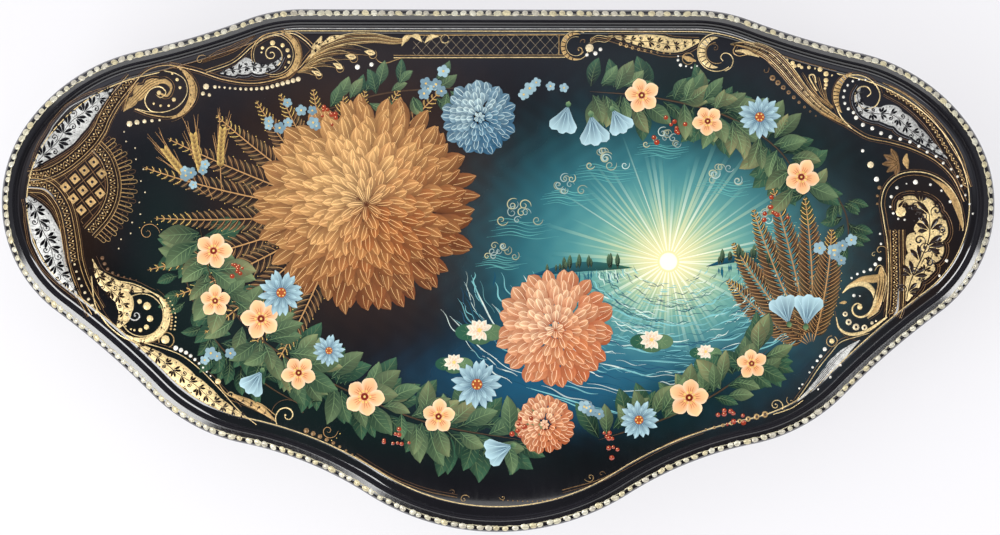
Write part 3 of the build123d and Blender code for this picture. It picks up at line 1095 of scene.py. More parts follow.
def draw_left_end():
    """Two silver leaves between braided bands, and a netted fan with a braided rim and a comb."""
    upper_leaf = drawn(33, 167, 44, 153, 59, 137, 80, 113, 112, 88)
    lower_leaf = drawn(27, 196, 37, 211, 45, 232, 56, 262, 78, 294)
    upper_band = drawn(28, 175, 48, 172, 68, 161, 87, 144, 98, 129, 104, 115, 114, 98, 131, 77)
    lower_band = drawn(28, 182, 45, 184, 57, 194, 66, 211, 71.5, 238, 75, 262, 83, 286, 97, 311)
    fan_rim = drawn(95, 146, 105, 157, 111, 172, 113, 187, 110, 202, 103, 215, 89, 231)
    comb_foot = drawn(101, 141, 112, 156, 119, 171, 121, 187, 118, 204, 110, 220, 97, 236)
    fan = lid_place(54, 181, 70, 171, 83, 161, 93, 149, 101, 160, 106, 175, 106, 188, 102, 203, 94, 215,
                    82, 225, 80, 212, 74, 199, 65, 188)
    for leaf, left, right in ((upper_leaf, (0.1, 2.3, 3.6, 3.6, 2.2, 0.1), (0.1, 2.4, 3.9, 3.9, 2.3, 0.1)),
                              (lower_leaf, (0.6, 3.2, 4.2, 3.4, 1.8, 0.1), (0.6, 3.2, 4.2, 3.4, 1.8, 0.1))):
        edges = draw_leaf(leaf, left, right, silver, paint=silvering)
        for edge, side in zip(edges, (1, -1)):
            gild_beside(edge, (0.55 * side, 1.0 * side), (0.24, 0.26), (copper, gold_deep))
        draw_vine(leaf, 17, 2.7, 0.34, black)
    braided = len(lower_band) * 2 // 3
    for band in (upper_band, lower_band[:braided]):
        draw_braid(band, 1.35, 2.0)
    gild_beside(lower_band, (1.35, 2.35, 2.8, -1.35, -2.35, -2.8), (0.34, 0.3, 0.2) * 2,
                (gold, gold, copper) * 2)
    gild_beside(upper_band, (-2.1, -2.5), (0.28, 0.2), (gold, copper))
    draw_beads(lower_band[braided:], 8, 0.34, 0.5, pearl_warm)
    tile_middle, row_step, column_step = spot(74.9, 177.8), np.array([2.49, 2.2]), np.array([2.1, -3.0])
    for row in range(-4, 6):
        for column in range(-4, 6):
            middle = tile_middle + row * row_step + column * column_step
            if inside_outline(middle, fan):
                tile = np.linspace(middle - 0.31 * row_step, middle + 0.31 * row_step, 3)
                glow = 0.1 - 0.13 * max(row, 0) + rng.uniform(-0.1, 0.1)
                gilding.blade(tile, 1.1, 1.1, shade(gold, glow), LEAF_OVER, 0.02, 5)
                ink.dots([middle], 0.5, copper_dark, sides=6, dome=0.1)
    between = tile_middle + (row_step + column_step) / 2
    draw_net(fan, between, row_step, column_step, 0.26, gold_deep)
    draw_net(fan, between, column_step, row_step, 0.26, gold_deep)
    draw_braid(fan_rim, 1.35, 1.9)
    gild_beside(fan_rim, (2.2, -2.0), (0.3, 0.26), (gold, copper))
    draw_comb(comb_foot, 27, 4.4, 0.95)


def draw_left_shoulder():
    """A gilded acanthus that curls inside a ring, and beads beside it."""
    ring = drawn(123, 111, 129, 90, 144, 71, 164, 64.5, 182, 69, 194, 82, 195.5, 95, 188, 108, 171, 116,
                 150, 114, 134, 108)
    acanthus = drawn(124, 110, 137, 97, 150, 85, 163, 81, 170, 87, 166, 95, 158, 92)
    gild_beside(ring, (0.0, 0.6), (0.42, 0.24), (gold, copper))
    gild(0.34, gold_light, 136, 108, 148, 111, 165, 111, 178, 105, 186, 93, 184, 80, 175, 73, 163, 70)
    draw_crescent(spot(164, 91), 7.2, 1.7, 62, -140, gold)
    edges = draw_leaf(acanthus, (0.1, 1.9, 2.6, 1.7, 0.8, 0.4, 0.3), (0.1, 1.1, 1.2, 0.9, 0.5, 0.3, 0.3),
                      gold, lobes=5, depth=0.5)
    gild_beside(edges[0], (0.5,), (0.26,), (gold_deep,))
    for offset in (-0.5, 0.1, 0.7, 1.3):
        ink.line(beside(acanthus, offset)[3: len(acanthus) * 2 // 3], 0.24, copper_dark, taper=0.5)
    gilding.dots(acanthus[-1:], 0.62, gold_light, over=LEAF_OVER)
    gild(0.5, gold_light, 163, 112, 150, 110, 144, 100, 149, 89, 159, 86, 165, 92, 160, 97, 155, 94,
         taper=0.3)
    set_pearls((0.35, 0.5, 0.45, 0.4, 0.4, 0.35, 0.6), gold_light,
               171, 73, 176, 79, 179, 87, 168, 105, 160, 105, 153, 103, 173, 99)
    draw_beads(drawn(129, 123, 137, 121.5, 145, 120.5, 159, 119.5), 5, 0.85, 0.35, pearl_warm)
    set_pearls((0.85, 0.5, 0.6, 0.5), pearl_warm, 205, 86, 214, 86.5, 202, 93, 208.5, 94.5)


def draw_back_left():
    """A silver leaf that curls inside a ring, with long gilded leaves and petals that lead to the net."""
    middle = spot(272, 54.5)
    gild_round(middle, 5.8, 200, -300, 0.36, gold)
    gild_round(middle, 5.2, 215, -330, 0.24, gold_light)
    draw_crescent(middle, 6.5, 1.5, 75, -150, gold)
    gild_round(middle, 7.5, 38, -115, 0.26, gold_deep)
    gild_round(spot(270, 54), 3.4, -62, 560, 0.4, gold_light, 0.5)
    silver_leaf = drawn(219, 73, 233, 69, 247, 66, 260, 68, 273, 65, 281, 56)
    edges = draw_leaf(silver_leaf, (0.1, 0.9, 2.5, 1.0, 0.9, 0.1), (0.1, 1.8, 2.1, 1.6, 0.9, 0.1), silver,
                      lobes=4, depth=0.3, paint=silvering)
    gild_beside(edges[1], (-0.6, -1.2), (0.26, 0.24), (silver_dim, copper))
    draw_vine(silver_leaf, 14, 1.4, 0.32, black)
    set_pearls((0.75, 0.5, 0.3, 0.6, 0.6, 0.5, 0.45, 0.3), gold_light,
               271, 42.5, 261, 47.5, 260, 52, 281, 45, 286, 50, 287.5, 56, 287.5, 62, 284, 67)
    gild_beside(drawn(168, 64, 195, 70, 222, 79, 250, 83, 275, 79, 296, 69, 309, 54, 321, 41),
                (0.0, 0.75, -0.6), (0.4, 0.28, 0.22), (gold, gold_deep, copper))
    gild_beside(drawn(205, 72, 232, 62, 252, 45, 270, 35, 290, 33, 303, 40, 312, 49),
                (-0.7, 0.0, 0.7), (0.22, 0.34, 0.24), (copper, gold_light, gold))
    draw_beads(drawn(213, 86, 240, 88.5, 262, 88, 277, 84.5, 297, 79), 17, 0.3, 0.72, pearl_warm)
    draw_folds(drawn(305, 60, 322, 48, 343, 40, 370, 38, 392, 41, 404, 40, 408, 35),
               (0.1, 1.0, 1.4, 1.5, 1.2, 0.8, 0.3), (0.1, 0.9, 1.3, 1.4, 1.1, 0.8, 0.3), 8)
    for half, *pixels in ((1.3, 309, 58, 315, 46, 320, 36), (0.9, 318, 46, 331, 38, 343, 36)):
        stem = drawn(*pixels)
        draw_leaf(stem, (0.1, 0.9 * half, 0.2), (0.1, half, 0.2), gold_light)
        draw_vine(stem[2:-2], 4, 0.7 * half, 0.15, copper_dark)
    for half, *pixels in ((1.25, 300, 69, 318, 59, 338, 55, 352, 57),
                          (1.15, 298, 71, 313, 64, 328, 62, 339, 67),
                          (1.0, 296, 72, 304, 70, 312, 71, 318, 74),
                          (1.25, 303, 62, 325, 52, 348, 49, 371, 53)):
        draw_plume(drawn(*pixels), half)
    draw_folds(drawn(200, 62, 214, 55, 232, 48, 254, 35), (0.2, 1.0, 1.0, 0.1), (0.2, 0.9, 0.8, 0.1), 5, 0.26,
               (gold_deep, copper))
    draw_curl(199, 60, 1.9, 40, 300, 0.34, gold)
    set_pearls((0.75, 0.62), pearl, 356, 67, 370, 64.5)


def draw_back_net():
    """The long net in its frame of double gold lines, with petals at its left end."""
    left, right, top, bottom = 411, 557, 35.5, 55.5
    frame_corners = lid_place(left, bottom, left, top, right, top, right, bottom)
    net_step, net_colour = np.array([2.6, 0.0]), linear(156, 142, 116)
    for direction in (48, -48):
        draw_net(frame_corners, frame_corners.mean(axis=0), towards(direction), net_step, 0.2, net_colour)
    for first, y, width, colour in ((404, 35.2, 0.34, gold), (392, 55.4, 0.26, gold),
                                    (392, 57.8, 0.38, gold_light)):
        gild(width, colour, first, y, 480, y, 563, y)
    gild(0.34, gold, right, top, right, 45, right, bottom)
    gild(0.34, gold, 403, 57, 394, 60, 385, 63, 378, 62, 374, 58, taper=0.2)
    for petal in ((400, 46, 404, 38, 411, 36), (408, 36, 415, 36.5, 420, 42), (423, 43, 429, 37, 437, 36.5)):
        draw_even_leaf((0.1, 0.8, 0.1), gold_light, *petal)
    gild_round(spot(443, 39), 1.1, 0, 330, 0.3, gold_light)


def draw_back_right():
    """A small C scroll with its bud and beads, a gilded leaf, a ribbed scroll and a long folded leaf."""
    c_middle, scroll_middle = spot(574, 47), spot(714.5, 53.5)
    draw_crescent(c_middle, 3.4, 1.2, 70, 220, gold, ribs=9)
    gild_round(c_middle, 4.2, 60, 290, 0.3, gold_light, 3.4)
    gild_round(c_middle, 2.6, 75, 250, 0.24, gold_light, 2.4)
    draw_curl(577, 50, 1.3, -80, 330, 0.35, gold)
    draw_curl(582, 42, 1.1, 200, -260, 0.28, gold_deep)
    set_pearls(1.2, pearl_warm, 587.5, 48.5)
    set_pearls((0.5, 0.62, 0.55), pearl, 585, 55.5, 593.5, 54, 598.5, 50)
    draw_folds(drawn(588, 44, 595, 39, 604, 40, 611, 36), (0.2, 0.8, 0.9, 0.1), (0.2, 0.8, 0.7, 0.1), 4, 0.26)
    draw_curl(591.5, 39.5, 1.2, 240, -220, 0.3, gold)
    leaf = drawn(606, 36.5, 627, 40, 650, 43, 673, 46, 697, 41)
    edges = draw_leaf(leaf, (0.1, 1.0, 1.9, 2.3, 1.6, 0.2), (0.1, 0.8, 1.6, 2.1, 1.9, 0.6), gold_light)
    gild_beside(edges[1], (-0.45, -1.1), (0.24, 0.3), (copper, gold_deep))
    gild_beside(edges[0], (0.5,), (0.24,), (gold_deep,))
    draw_vine(leaf, 16, 1.5, 0.32, copper_dark)
    draw_beads(drawn(618.5, 44.5, 632, 49, 648, 52, 668, 54.5), 9, 0.55, 0.25, gold, rings=True)
    draw_crescent(scroll_middle, 3.9, 1.9, 85, 190, gold_light, ribs=9)
    gild_round(scroll_middle, 5.1, 80, 230, 0.36, gold_light, 4.9)
    gild(0.4, gold_light, 723, 72, 729, 68, 731, 61, 728, 55.5, 722, 54, 718.5, 58, 721, 62)
    gild_round(scroll_middle, 2.7, 95, 200, 0.26, gold, 2.9)
    draw_curl(713, 49, 1.4, 150, -420, 0.28, gold_deep)
    draw_even_leaf((0.2, 0.8, 0.2), gold, 680, 57, 687, 60, 694, 62)
    gild_round(spot(686, 59.5), 1.5, 20, 320, 0.26, gold)
    set_pearls((0.28, 0.42, 0.5, 0.3, 0.28, 0.3), pearl, 676, 57, 676, 61, 678.5, 66, 684, 67, 689.5, 68.5,
               695, 67)
    gild_beside(drawn(733, 47, 731, 53, 737, 57, 748, 55, 758, 57, 770, 65), (0.0, 0.7), (0.34, 0.24),
                (gold, gold_deep))
    draw_leaf(drawn(733, 52, 743, 52, 757, 58), (0.2, 0.5, 0.1), (0.2, 0.8, 0.1), gold_light)
    long_leaf = drawn(728, 45, 744, 46, 764, 53, 781, 68, 799, 90, 818, 109, 846, 127)
    draw_folds(long_leaf, (0.1, 1.3, 1.9, 1.8, 1.3, 0.9, 0.2), (0.1, 1.3, 1.9, 1.8, 1.3, 0.9, 0.2), 9, 0.32)
    draw_vine(long_leaf, 26, 0.5, 0.16, copper_dark)
    draw_curl(763, 71.5, 1.3, 40, -250, 0.3, gold_deep)
    draw_beads(drawn(770.5, 79, 784, 91, 800, 106, 814, 117), 9, 0.85, 0.25, gold_deep, rings=True)


def draw_right_shoulder():
    """A fan of petals, then the big scroll with its silver acanthus, a braided band, and pearls beneath."""
    root_x, root_y = 831, 110
    for x, y, width in ((792, 73, 0.5), (800, 74, 0.6), (808, 76, 1.2), (816, 78, 0.6), (822, 84, 0.5)):
        path = drawn(root_x, root_y, (x + root_x) / 2 - 2, (y + root_y) / 2 + 3, x, y)
        gild_beside(path, (0.35 * width, -0.35 * width), (0.28, 0.28), (gold_deep, gold), taper=0.2)
    gild(0.5, gold_light, 815, 92, 810, 84, 807, 77, 812, 76, 814, 84)
    set_pearls((0.4, 0.6, 0.6, 0.55, 0.5, 0.55, 0.28, 0.7, 0.75, 0.3, 0.7, 0.55, 0.4), gold_light,
               785, 61, 790.5, 64, 792.5, 67, 797, 66.5, 799.5, 68.5, 807, 68.5, 813, 69.5, 818, 70.5,
               824, 75, 830, 76.5, 824, 81.5, 824, 86, 823, 89.5)
    middle = spot(859, 98)
    winding = drawn(850, 130, 838, 116, 832.5, 97, 838, 82, 851, 76, 865, 79, 875, 88, 878, 98, 874, 107,
                    865, 110, 856, 106, 853, 97, 857, 89, 865, 88, 869, 94, 865, 98)
    gilding.line(winding, 0.46, gold_light)
    gilding.line(beside(winding[: len(winding) * 3 // 5], 0.7), 0.26, copper)
    draw_crescent(middle, 6.6, 1.7, 110, 110, gold, ribs=10)
    stem = drawn(820, 113, 834, 121, 847, 128, 866, 139, 889, 144, 912, 151, 935, 163, 952, 180, 963, 203)
    gild_beside(stem, (0.0, 0.75, -0.6), (0.36, 0.24, 0.22), (gold, gold_deep, copper))
    acanthus = drawn(858, 88, 855.5, 99, 862, 111, 876, 115, 890, 117, 906, 128, 924, 143, 946, 160)
    edges = draw_leaf(acanthus, (0.2, 1.1, 1.7, 2.9, 2.5, 1.9, 1.2, 0.1),
                      (0.2, 1.3, 2.0, 2.7, 2.5, 1.5, 0.8, 0.1), silver, lobes=6, depth=0.2, paint=silvering)
    draw_vine(acanthus, 20, 1.9, 0.34, black)
    gild_beside(edges[1], (-0.6, -1.1), (0.24, 0.26), (silver_dim, copper))
    band = drawn(884, 91, 905, 103, 923, 119, 935, 134, 946, 152, 957, 170, 965, 190)
    draw_braid(band, 0.95, 2.4, edges=False)
    gild_beside(band, (1.35, 1.8, -1.35, -1.8), (0.3, 0.22, 0.26, 0.22), (gold, copper, gold_deep, copper))
    gild(0.3, gold, 881, 84, 900, 93, 923, 109, 946, 133, 961, 158, 969, 186)
    lower_pearls = drawn(856, 103, 851, 111, 858, 124, 869, 129, 885, 137, 905, 142, 918, 148, 928, 155,
                         937, 159, 944, 167, 953, 173, 958, 182, 962, 192, 968, 204, 972, 215)
    draw_beads(lower_pearls[8:], 17, 0.62, 0.32, pearl)
    draw_beads(spiral(middle, 4.6, 4.6, 75, 170), 9, 0.3, 0.5, pearl)


def draw_right_end():
    """A rosette and pearls, the great gilded acanthus inside its ring, and the upright braid at its foot."""
    for turn in range(0, 200, 40):
        tip = spot(894, 163) + 3.6 * towards(110 + turn)
        petal = even(np.stack([spot(897, 164), tip]), 0.5)
        draw_leaf(petal, (0.2, 0.8, 0.9, 0.2), (0.2, 0.8, 0.9, 0.2), gold_deep, edge_colour=copper_dark)
        ink.line(petal[1:-1], 0.2, copper_dark)
    draw_even_leaf((0.2, 1.0, 0.2), gold, 905, 155, 904, 162, 906, 170)
    set_pearls((0.5, 0.95, 0.75, 0.6, 0.4, 0.35), (pearl, pearl_warm, pearl, gold_deep, gold_deep, gold_deep),
               861, 152, 869, 166, 875, 180.5, 878, 189, 876, 197, 876, 205)
    ring = drawn(886, 318, 888, 283, 887, 249, 882, 218, 880, 203, 884, 188, 895, 177, 912, 173, 930, 176,
                 946, 186, 957, 202, 962, 222, 962, 232)
    gild_beside(ring, (0.0, -0.9, 0.6), (0.4, 0.28, 0.22), (gold_light, gold_deep, copper))
    draw_leaf(drawn(929, 179, 945, 190, 956, 207, 962, 230), (0.1, 0.8, 1.0, 0.2), (0.1, 0.9, 1.0, 0.2), gold)
    set_pearls((0.7, 0.5, 0.25, 0.4, 0.35, 0.45, 0.5, 0.35, 0.4, 0.35, 0.35, 0.5, 0.4), pearl,
               914, 183.5, 895.5, 189, 905, 185, 929, 186, 940, 192, 949, 203, 890, 198, 889, 208, 892, 214.5,
               897, 220, 903.5, 221, 946, 262, 939, 277)
    acanthus = drawn(906, 302, 911, 282, 919, 258, 929, 235, 929, 213, 915, 202, 901, 203, 898, 212)
    edges = draw_leaf(acanthus, (0.2, 1.7, 3.6, 5.6, 4.4, 1.9, 1.4, 1.2),
                      (0.6, 2.9, 5.2, 5.4, 4.6, 2.4, 1.2, 0.9), gold_light, lobes=6, depth=0.24, columns=11)
    gilding.dots(lid_place(899.5, 213), 1.4, gold_light, over=0.1)
    gild_beside(edges[1], (-0.6, -1.2), (0.24, 0.3), (copper, gold_deep))
    draw_vine(acanthus, 13, 4.0, 0.5, copper_dark)
    draw_vine(beside(acanthus[8:-14], -2.6), 13, 1.7, 0.32, copper_dark)
    for x, y, radius in ((921.5, 218, 1.0), (924, 249, 1.2), (914, 272, 0.9), (941, 231, 0.8)):
        ink.line(spiral(spot(x, y), radius, radius, 0, 360), 0.4, copper_dark)
        ink.dots(spot(x, y), radius * 0.45, copper_dark)
    band = drawn(893.5, 231, 894, 255, 895, 280, 894.5, 307, 892, 316)
    draw_braid(band, 1.15, 1.9)
    gild_beside(band, (2.2, 2.7, -2.2), (0.34, 0.24, 0.3), (gold, copper, gold_deep))


def draw_lower_right():
    """The scroll under the upright braid: a spur, a hatched body, a crescent that curls in, and pearls."""
    draw_leaf(drawn(884, 274, 875, 280, 862, 281, 849, 285), (0.4, 1.0, 0.5, 0.1), (0.4, 1.3, 0.9, 0.1), gold)
    body = drawn(880, 268, 882, 281, 880, 294, 876, 307, 867, 319)
    edges = draw_leaf(body, (0.2, 1.2, 1.3, 1.3, 1.1, 0.2), (0.2, 1.7, 1.5, 0.9, 0.5, 0.1), gold, lobes=3,
                      depth=0.2)
    gild_beside(edges[0], (0.0, 0.55), (0.34, 0.2), (gold_light, copper))
    for offset, start in ((-1.3, 7), (-0.7, 3), (0.0, 5), (0.6, 2), (1.1, 8)):
        ink.line(beside(body, offset)[start: start + len(body) // 2], 0.4, copper_dark, taper=0.5)
    crescent = drawn(842, 294, 849, 287, 859, 284, 868, 287, 874, 295, 874, 305, 869, 314, 861, 318, 854,
                     315.5, 852, 309, 856, 304.5, 861, 306, 861, 310)
    draw_leaf(crescent, (0.1, 0.6, 0.7, 0.5, 0.4, 0.25, 0.2, 0.15),
              (0.1, 0.8, 0.8, 0.5, 0.3, 0.25, 0.2, 0.15), gold_light)
    gilding.dots(lid_place(859.5, 308), 0.75, gold_light, over=LEAF_OVER)
    draw_drop(spot(839, 304), 8, 2.0, 0.9, gold, 0, gilding, LEAF_OVER)
    set_pearls((0.5, 0.28), pearl, 853.5, 296.5, 859.5, 297)
    gild(0.32, gold_light, 874, 272, 877, 267, 881, 267, 885, 276, taper=0.2)
    draw_leaf(drawn(836, 318, 839, 329, 848, 335, 859, 335, 871, 330, 887, 318), (0.1, 0.4, 0.6, 0.5, 0.2),
              (0.1, 0.3, 0.3, 0.3, 0.2), gold_light)
    gild(0.24, copper, 835, 312, 838, 328, 848, 339, 860, 342)
    draw_curl(879, 252, 1.8, 20, 300, 0.32, gold)
    draw_curl(873, 256, 0.9, 60, 300, 0.26, gold_light)
    eyes = (845, 315, 848.5, 323, 856, 328, 864.5, 328.5)
    set_pearls((0.75, 0.9, 1.0, 0.85, 0.5, 0.3), pearl_warm, *eyes, 872, 324, 876, 322)
    ink.dots(lid_place(*eyes), (0.3, 0.35, 0.4, 0.35), copper_dark, over=0.25)
    draw_beads(drawn(851, 279, 857, 275, 864, 272.5, 870, 270.5, 879, 260), 6, 0.35, 0.6, pearl)
    set_pearls(0.35, pearl, 879, 235, 880, 245)


def draw_front_right():
    """A ring bead, the silver leaf below it, curls at its tip, and ring beads that run to the double line."""
    gild_round(spot(832, 342), 1.4, 90, 330, 0.34, gold)
    set_pearls(0.75, gold_light, 832, 342)
    leaf = drawn(860, 341, 848, 350, 837, 360, 825, 374, 813, 388, 798, 402)
    draw_leaf(leaf, (0.1, 1.2, 1.7, 1.4, 0.8, 0.1), (0.1, 0.9, 1.2, 0.9, 0.5, 0.1), silver, lobes=6,
              depth=0.2, paint=silvering)
    for offset, start in ((-0.7, 12), (-0.3, 4), (0.1, 8), (0.5, 14), (0.95, 20)):
        ink.line(beside(leaf, offset)[start: start + len(leaf) * 3 // 5], 0.28, black, taper=0.6)
    gild_beside(drawn(870, 334, 856, 338, 841, 343, 831, 354, 819, 369, 808, 386, 796, 403),
                (0.0, -0.7), (0.36, 0.24), (gold_light, gold_deep), taper=0.1)
    set_pearls((0.6, 0.5, 0.42, 0.36, 0.32, 0.3, 0.3), pearl,
               825, 350, 821, 357, 817.5, 361.5, 813, 368, 810, 373, 803, 385, 800, 389)
    set_pearls((0.4, 0.4, 0.3), pearl, 841, 366, 831, 378, 819, 390)
    draw_curl(792, 402, 1.5, 130, 340, 0.34, gold)
    draw_curl(776.5, 406, 2.1, -30, 480, 0.36, gold_light)
    gild(0.34, gold_light, 774, 415, 784, 412, 794, 408, 804, 401)
    draw_beads(drawn(766, 415, 749, 419.5, 729, 424.5, 707, 430), 8, 0.95, 0.35, gold, rings=True)


def draw_front():
    """Fine double lines along the belly that end in flourishes, with dots between them."""
    right_line, left_line = (704, 431, 678, 440, 652, 453, 626, 467, 600, 480, 564, 490), (
        357, 455, 376, 467, 400, 480, 430, 491, 459, 497)
    for line in (right_line, left_line):
        gild_beside(drawn(*line), (0.0, 0.7), (0.3, 0.22), (gold_deep, copper))
    draw_beads(drawn(505, 500, 535, 501, 564, 498), 13, 0.22, 0.22, gold_deep)
    for curl in ((592, 477, 1.6, 200, 420, 0.28, gold), (603, 474, 1.1, 0, 300, 0.24, gold_deep),
                 (505, 497, 1.0, 180, 330, 0.26, gold), (466, 499, 1.5, 20, 420, 0.28, gold),
                 (455, 492, 1.0, 160, -300, 0.24, gold_deep)):
        draw_curl(*curl)
    draw_beads(drawn(354, 454, 338, 444, 322, 436, 308, 430), 8, 0.35, 0.8, gold_deep)


def draw_front_left():
    """The gilded scroll at the lower left with its pearls, the leaf strip after it, and its last curls."""
    ring_middle = spot(143, 314)
    body = drawn(95, 262, 101, 277, 112, 288, 122, 300, 124, 314, 119, 326)
    draw_leaf(body, (0.3, 1.0, 2.6, 3.6, 2.6, 0.6), (0.3, 1.2, 1.7, 1.7, 1.4, 0.6), gold_light, lobes=5,
              depth=0.2)
    upper_body = drawn(98, 268, 116, 283, 133, 288, 152, 291)
    draw_leaf(upper_body, (0.1, 1.3, 1.1, 0.1), (0.1, 1.6, 0.9, 0.1), gold_light)
    draw_vine(upper_body, 8, 1.1, 0.28, copper_dark)
    draw_vine(body, 12, 2.0, 0.32, copper_dark)
    gild(0.4, gold_light, 93, 258, 100, 271, 116, 279, 135, 283, 154, 292, 165, 301)
    gild(0.24, copper, 97, 255, 104, 268, 118, 275, 137, 280, 156, 289)
    gild(0.46, gold_light, 92, 275, 96, 303, 107, 322, 122, 335, 136, 341)
    gild(0.26, copper, 98, 285, 102, 304, 112, 320, 126, 331)
    gild_round(ring_middle, 5.6, 150, -330, 0.4, gold_light)
    draw_crescent(ring_middle, 6.6, 2.0, 60, -190, gold_light)
    draw_curl(137, 314, 2.2, 150, 420, 0.5, silver)
    set_pearls((0.35, 0.7, 1.15, 0.95, 0.75, 0.6, 0.35, 0.3, 0.25, 0.25), gold_light, 133, 302, 140.5, 300.5,
               148, 305, 151, 317.5, 147.5, 326, 141.5, 329, 135.5, 329, 132, 328, 127, 325, 124.5, 321)
    chain = drawn(166, 299, 170, 306, 173, 316, 172, 328)
    draw_beads(chain, 11, 0.3, 0.36, gold)
    draw_beads(beside(chain, 1.0), 9, 0.25, 0.3, gold_light)
    draw_beads(drawn(103, 257, 107, 266, 112, 271, 122, 275, 137, 279), 8, 0.6, 0.22, copper)
    gild_round(spot(167.5, 339), 2.0, 200, -270, 0.4, gold)
    set_pearls(1.25, gold_light, 166.5, 338.5)
    strip = drawn(136, 341, 152, 352, 171, 365, 190, 380, 209, 395, 228, 407, 250, 418)
    draw_leaf(strip, (0.2, 1.5, 2.6, 2.7, 2.3, 1.2, 0.1), (0.2, 1.2, 2.3, 2.4, 1.9, 1.2, 0.1), gold_light,
              lobes=4, depth=0.16)
    draw_vine(strip, 20, 2.0, 0.36, copper_dark, first_side=-1)
    gild(0.36, gold_light, 137, 340, 150, 343, 180, 353, 201, 368, 222, 389, 241, 410, 258, 424)
    gild(0.24, copper, 150, 340, 182, 350, 204, 365, 225, 386, 243, 406)
    draw_beads(drawn(177, 347, 188, 352, 200, 362, 212, 375), 9, 0.72, 0.25, pearl)
    set_pearls(0.85, gold_light, 219.5, 380.5)
    gild(0.4, gold, 220, 382, 226, 391, 236, 397, 260, 402, 278, 415)
    gild(0.24, gold_deep, 228, 398, 245, 404, 262, 412)
    paisley = drawn(234, 394, 248, 401, 262, 408, 277, 420)
    draw_leaf(paisley, (0.4, 1.1, 1.0, 0.2), (0.4, 0.9, 0.9, 0.2), gold)
    draw_vine(paisley[3:-3], 6, 0.7, 0.18, copper_dark)
    draw_curl(231, 394, 1.2, 0, 320, 0.34, gold_light)
    draw_curl(289, 415, 3.6, -140, -420, 0.5, gold_light)
    gild_round(spot(289, 415), 4.3, -160, -190, 0.26, copper, 4.2)


for draw_part in (draw_panel_edge, draw_left_end, draw_left_shoulder, draw_back_left, draw_back_net,
                  draw_back_right, draw_right_shoulder, draw_right_end, draw_lower_right,
                  draw_front_right, draw_front, draw_front_left):
    draw_part()
gilding.make("border_gold", "lid", GOLD_PAINT)
silvering.make("border_silver", "lid", SILVER_PAINT)
ink.make("border_ink", "lid", INK)
pearls.make("border_pearls", "lid", PEARL_PAINT)


# The beads along the rim

def draw_rim_beads():
    """Beads of cream paint round the lid's nose, uneven in size and tone, on a wavy line that joins them."""
    beads = Paint()
    pitch, bead_inset, line_inset = 2.35, 1.0, 1.5
    count = int(round(2 * half_edge / pitch))
    along = (np.arange(count) + rng.uniform(-0.16, 0.16, count)) * 2 * half_edge / count
    x, y, normal_x, normal_y = edge_at(along)
    inset = bead_inset + rng.uniform(-0.12, 0.12, count)
    heading = np.arctan2(normal_y, normal_x) + np.pi / 2 + rng.uniform(-0.6, 0.3, count)
    tones = np.array([linear(206, 200, 174), linear(206, 195, 158), linear(196, 190, 172),
                      linear(214, 210, 190)])
    tones = tones[rng.integers(0, len(tones), count)]
    radius = rng.uniform(0.66, 0.86, count)
    stretch = rng.uniform(1.1, 1.55, count)
    beads.dots(np.stack([x + normal_x * inset, y + normal_y * inset], -1), radius, tones, stretch=stretch,
               heading=heading, sides=10, jitter=0.08)
    path = edge_path(0, 2 * half_edge, line_inset)
    number = np.arange(len(path))
    wave = 0.07 * np.sin(number * 0.9) + rng.uniform(-0.05, 0.05, len(path))
    beads.line(beside(path, wave), 0.34 + 0.14 * np.sin(number * 2.1), linear(196, 188, 158))
    beads.make("rim_beads", "lid", PEARL_PAINT)


draw_rim_beads()


# The ornament on the sides

def on_side(x, y, lift):
    """Points of the side, raised by lift. x runs round it, to the right from outside, and y is the height."""
    edge, deep, normal_x, normal_y = edge_at(-np.asarray(x))
    inset = wall_inset - lift
    return np.stack([edge + normal_x * inset, deep + normal_y * inset, y], axis=-1)


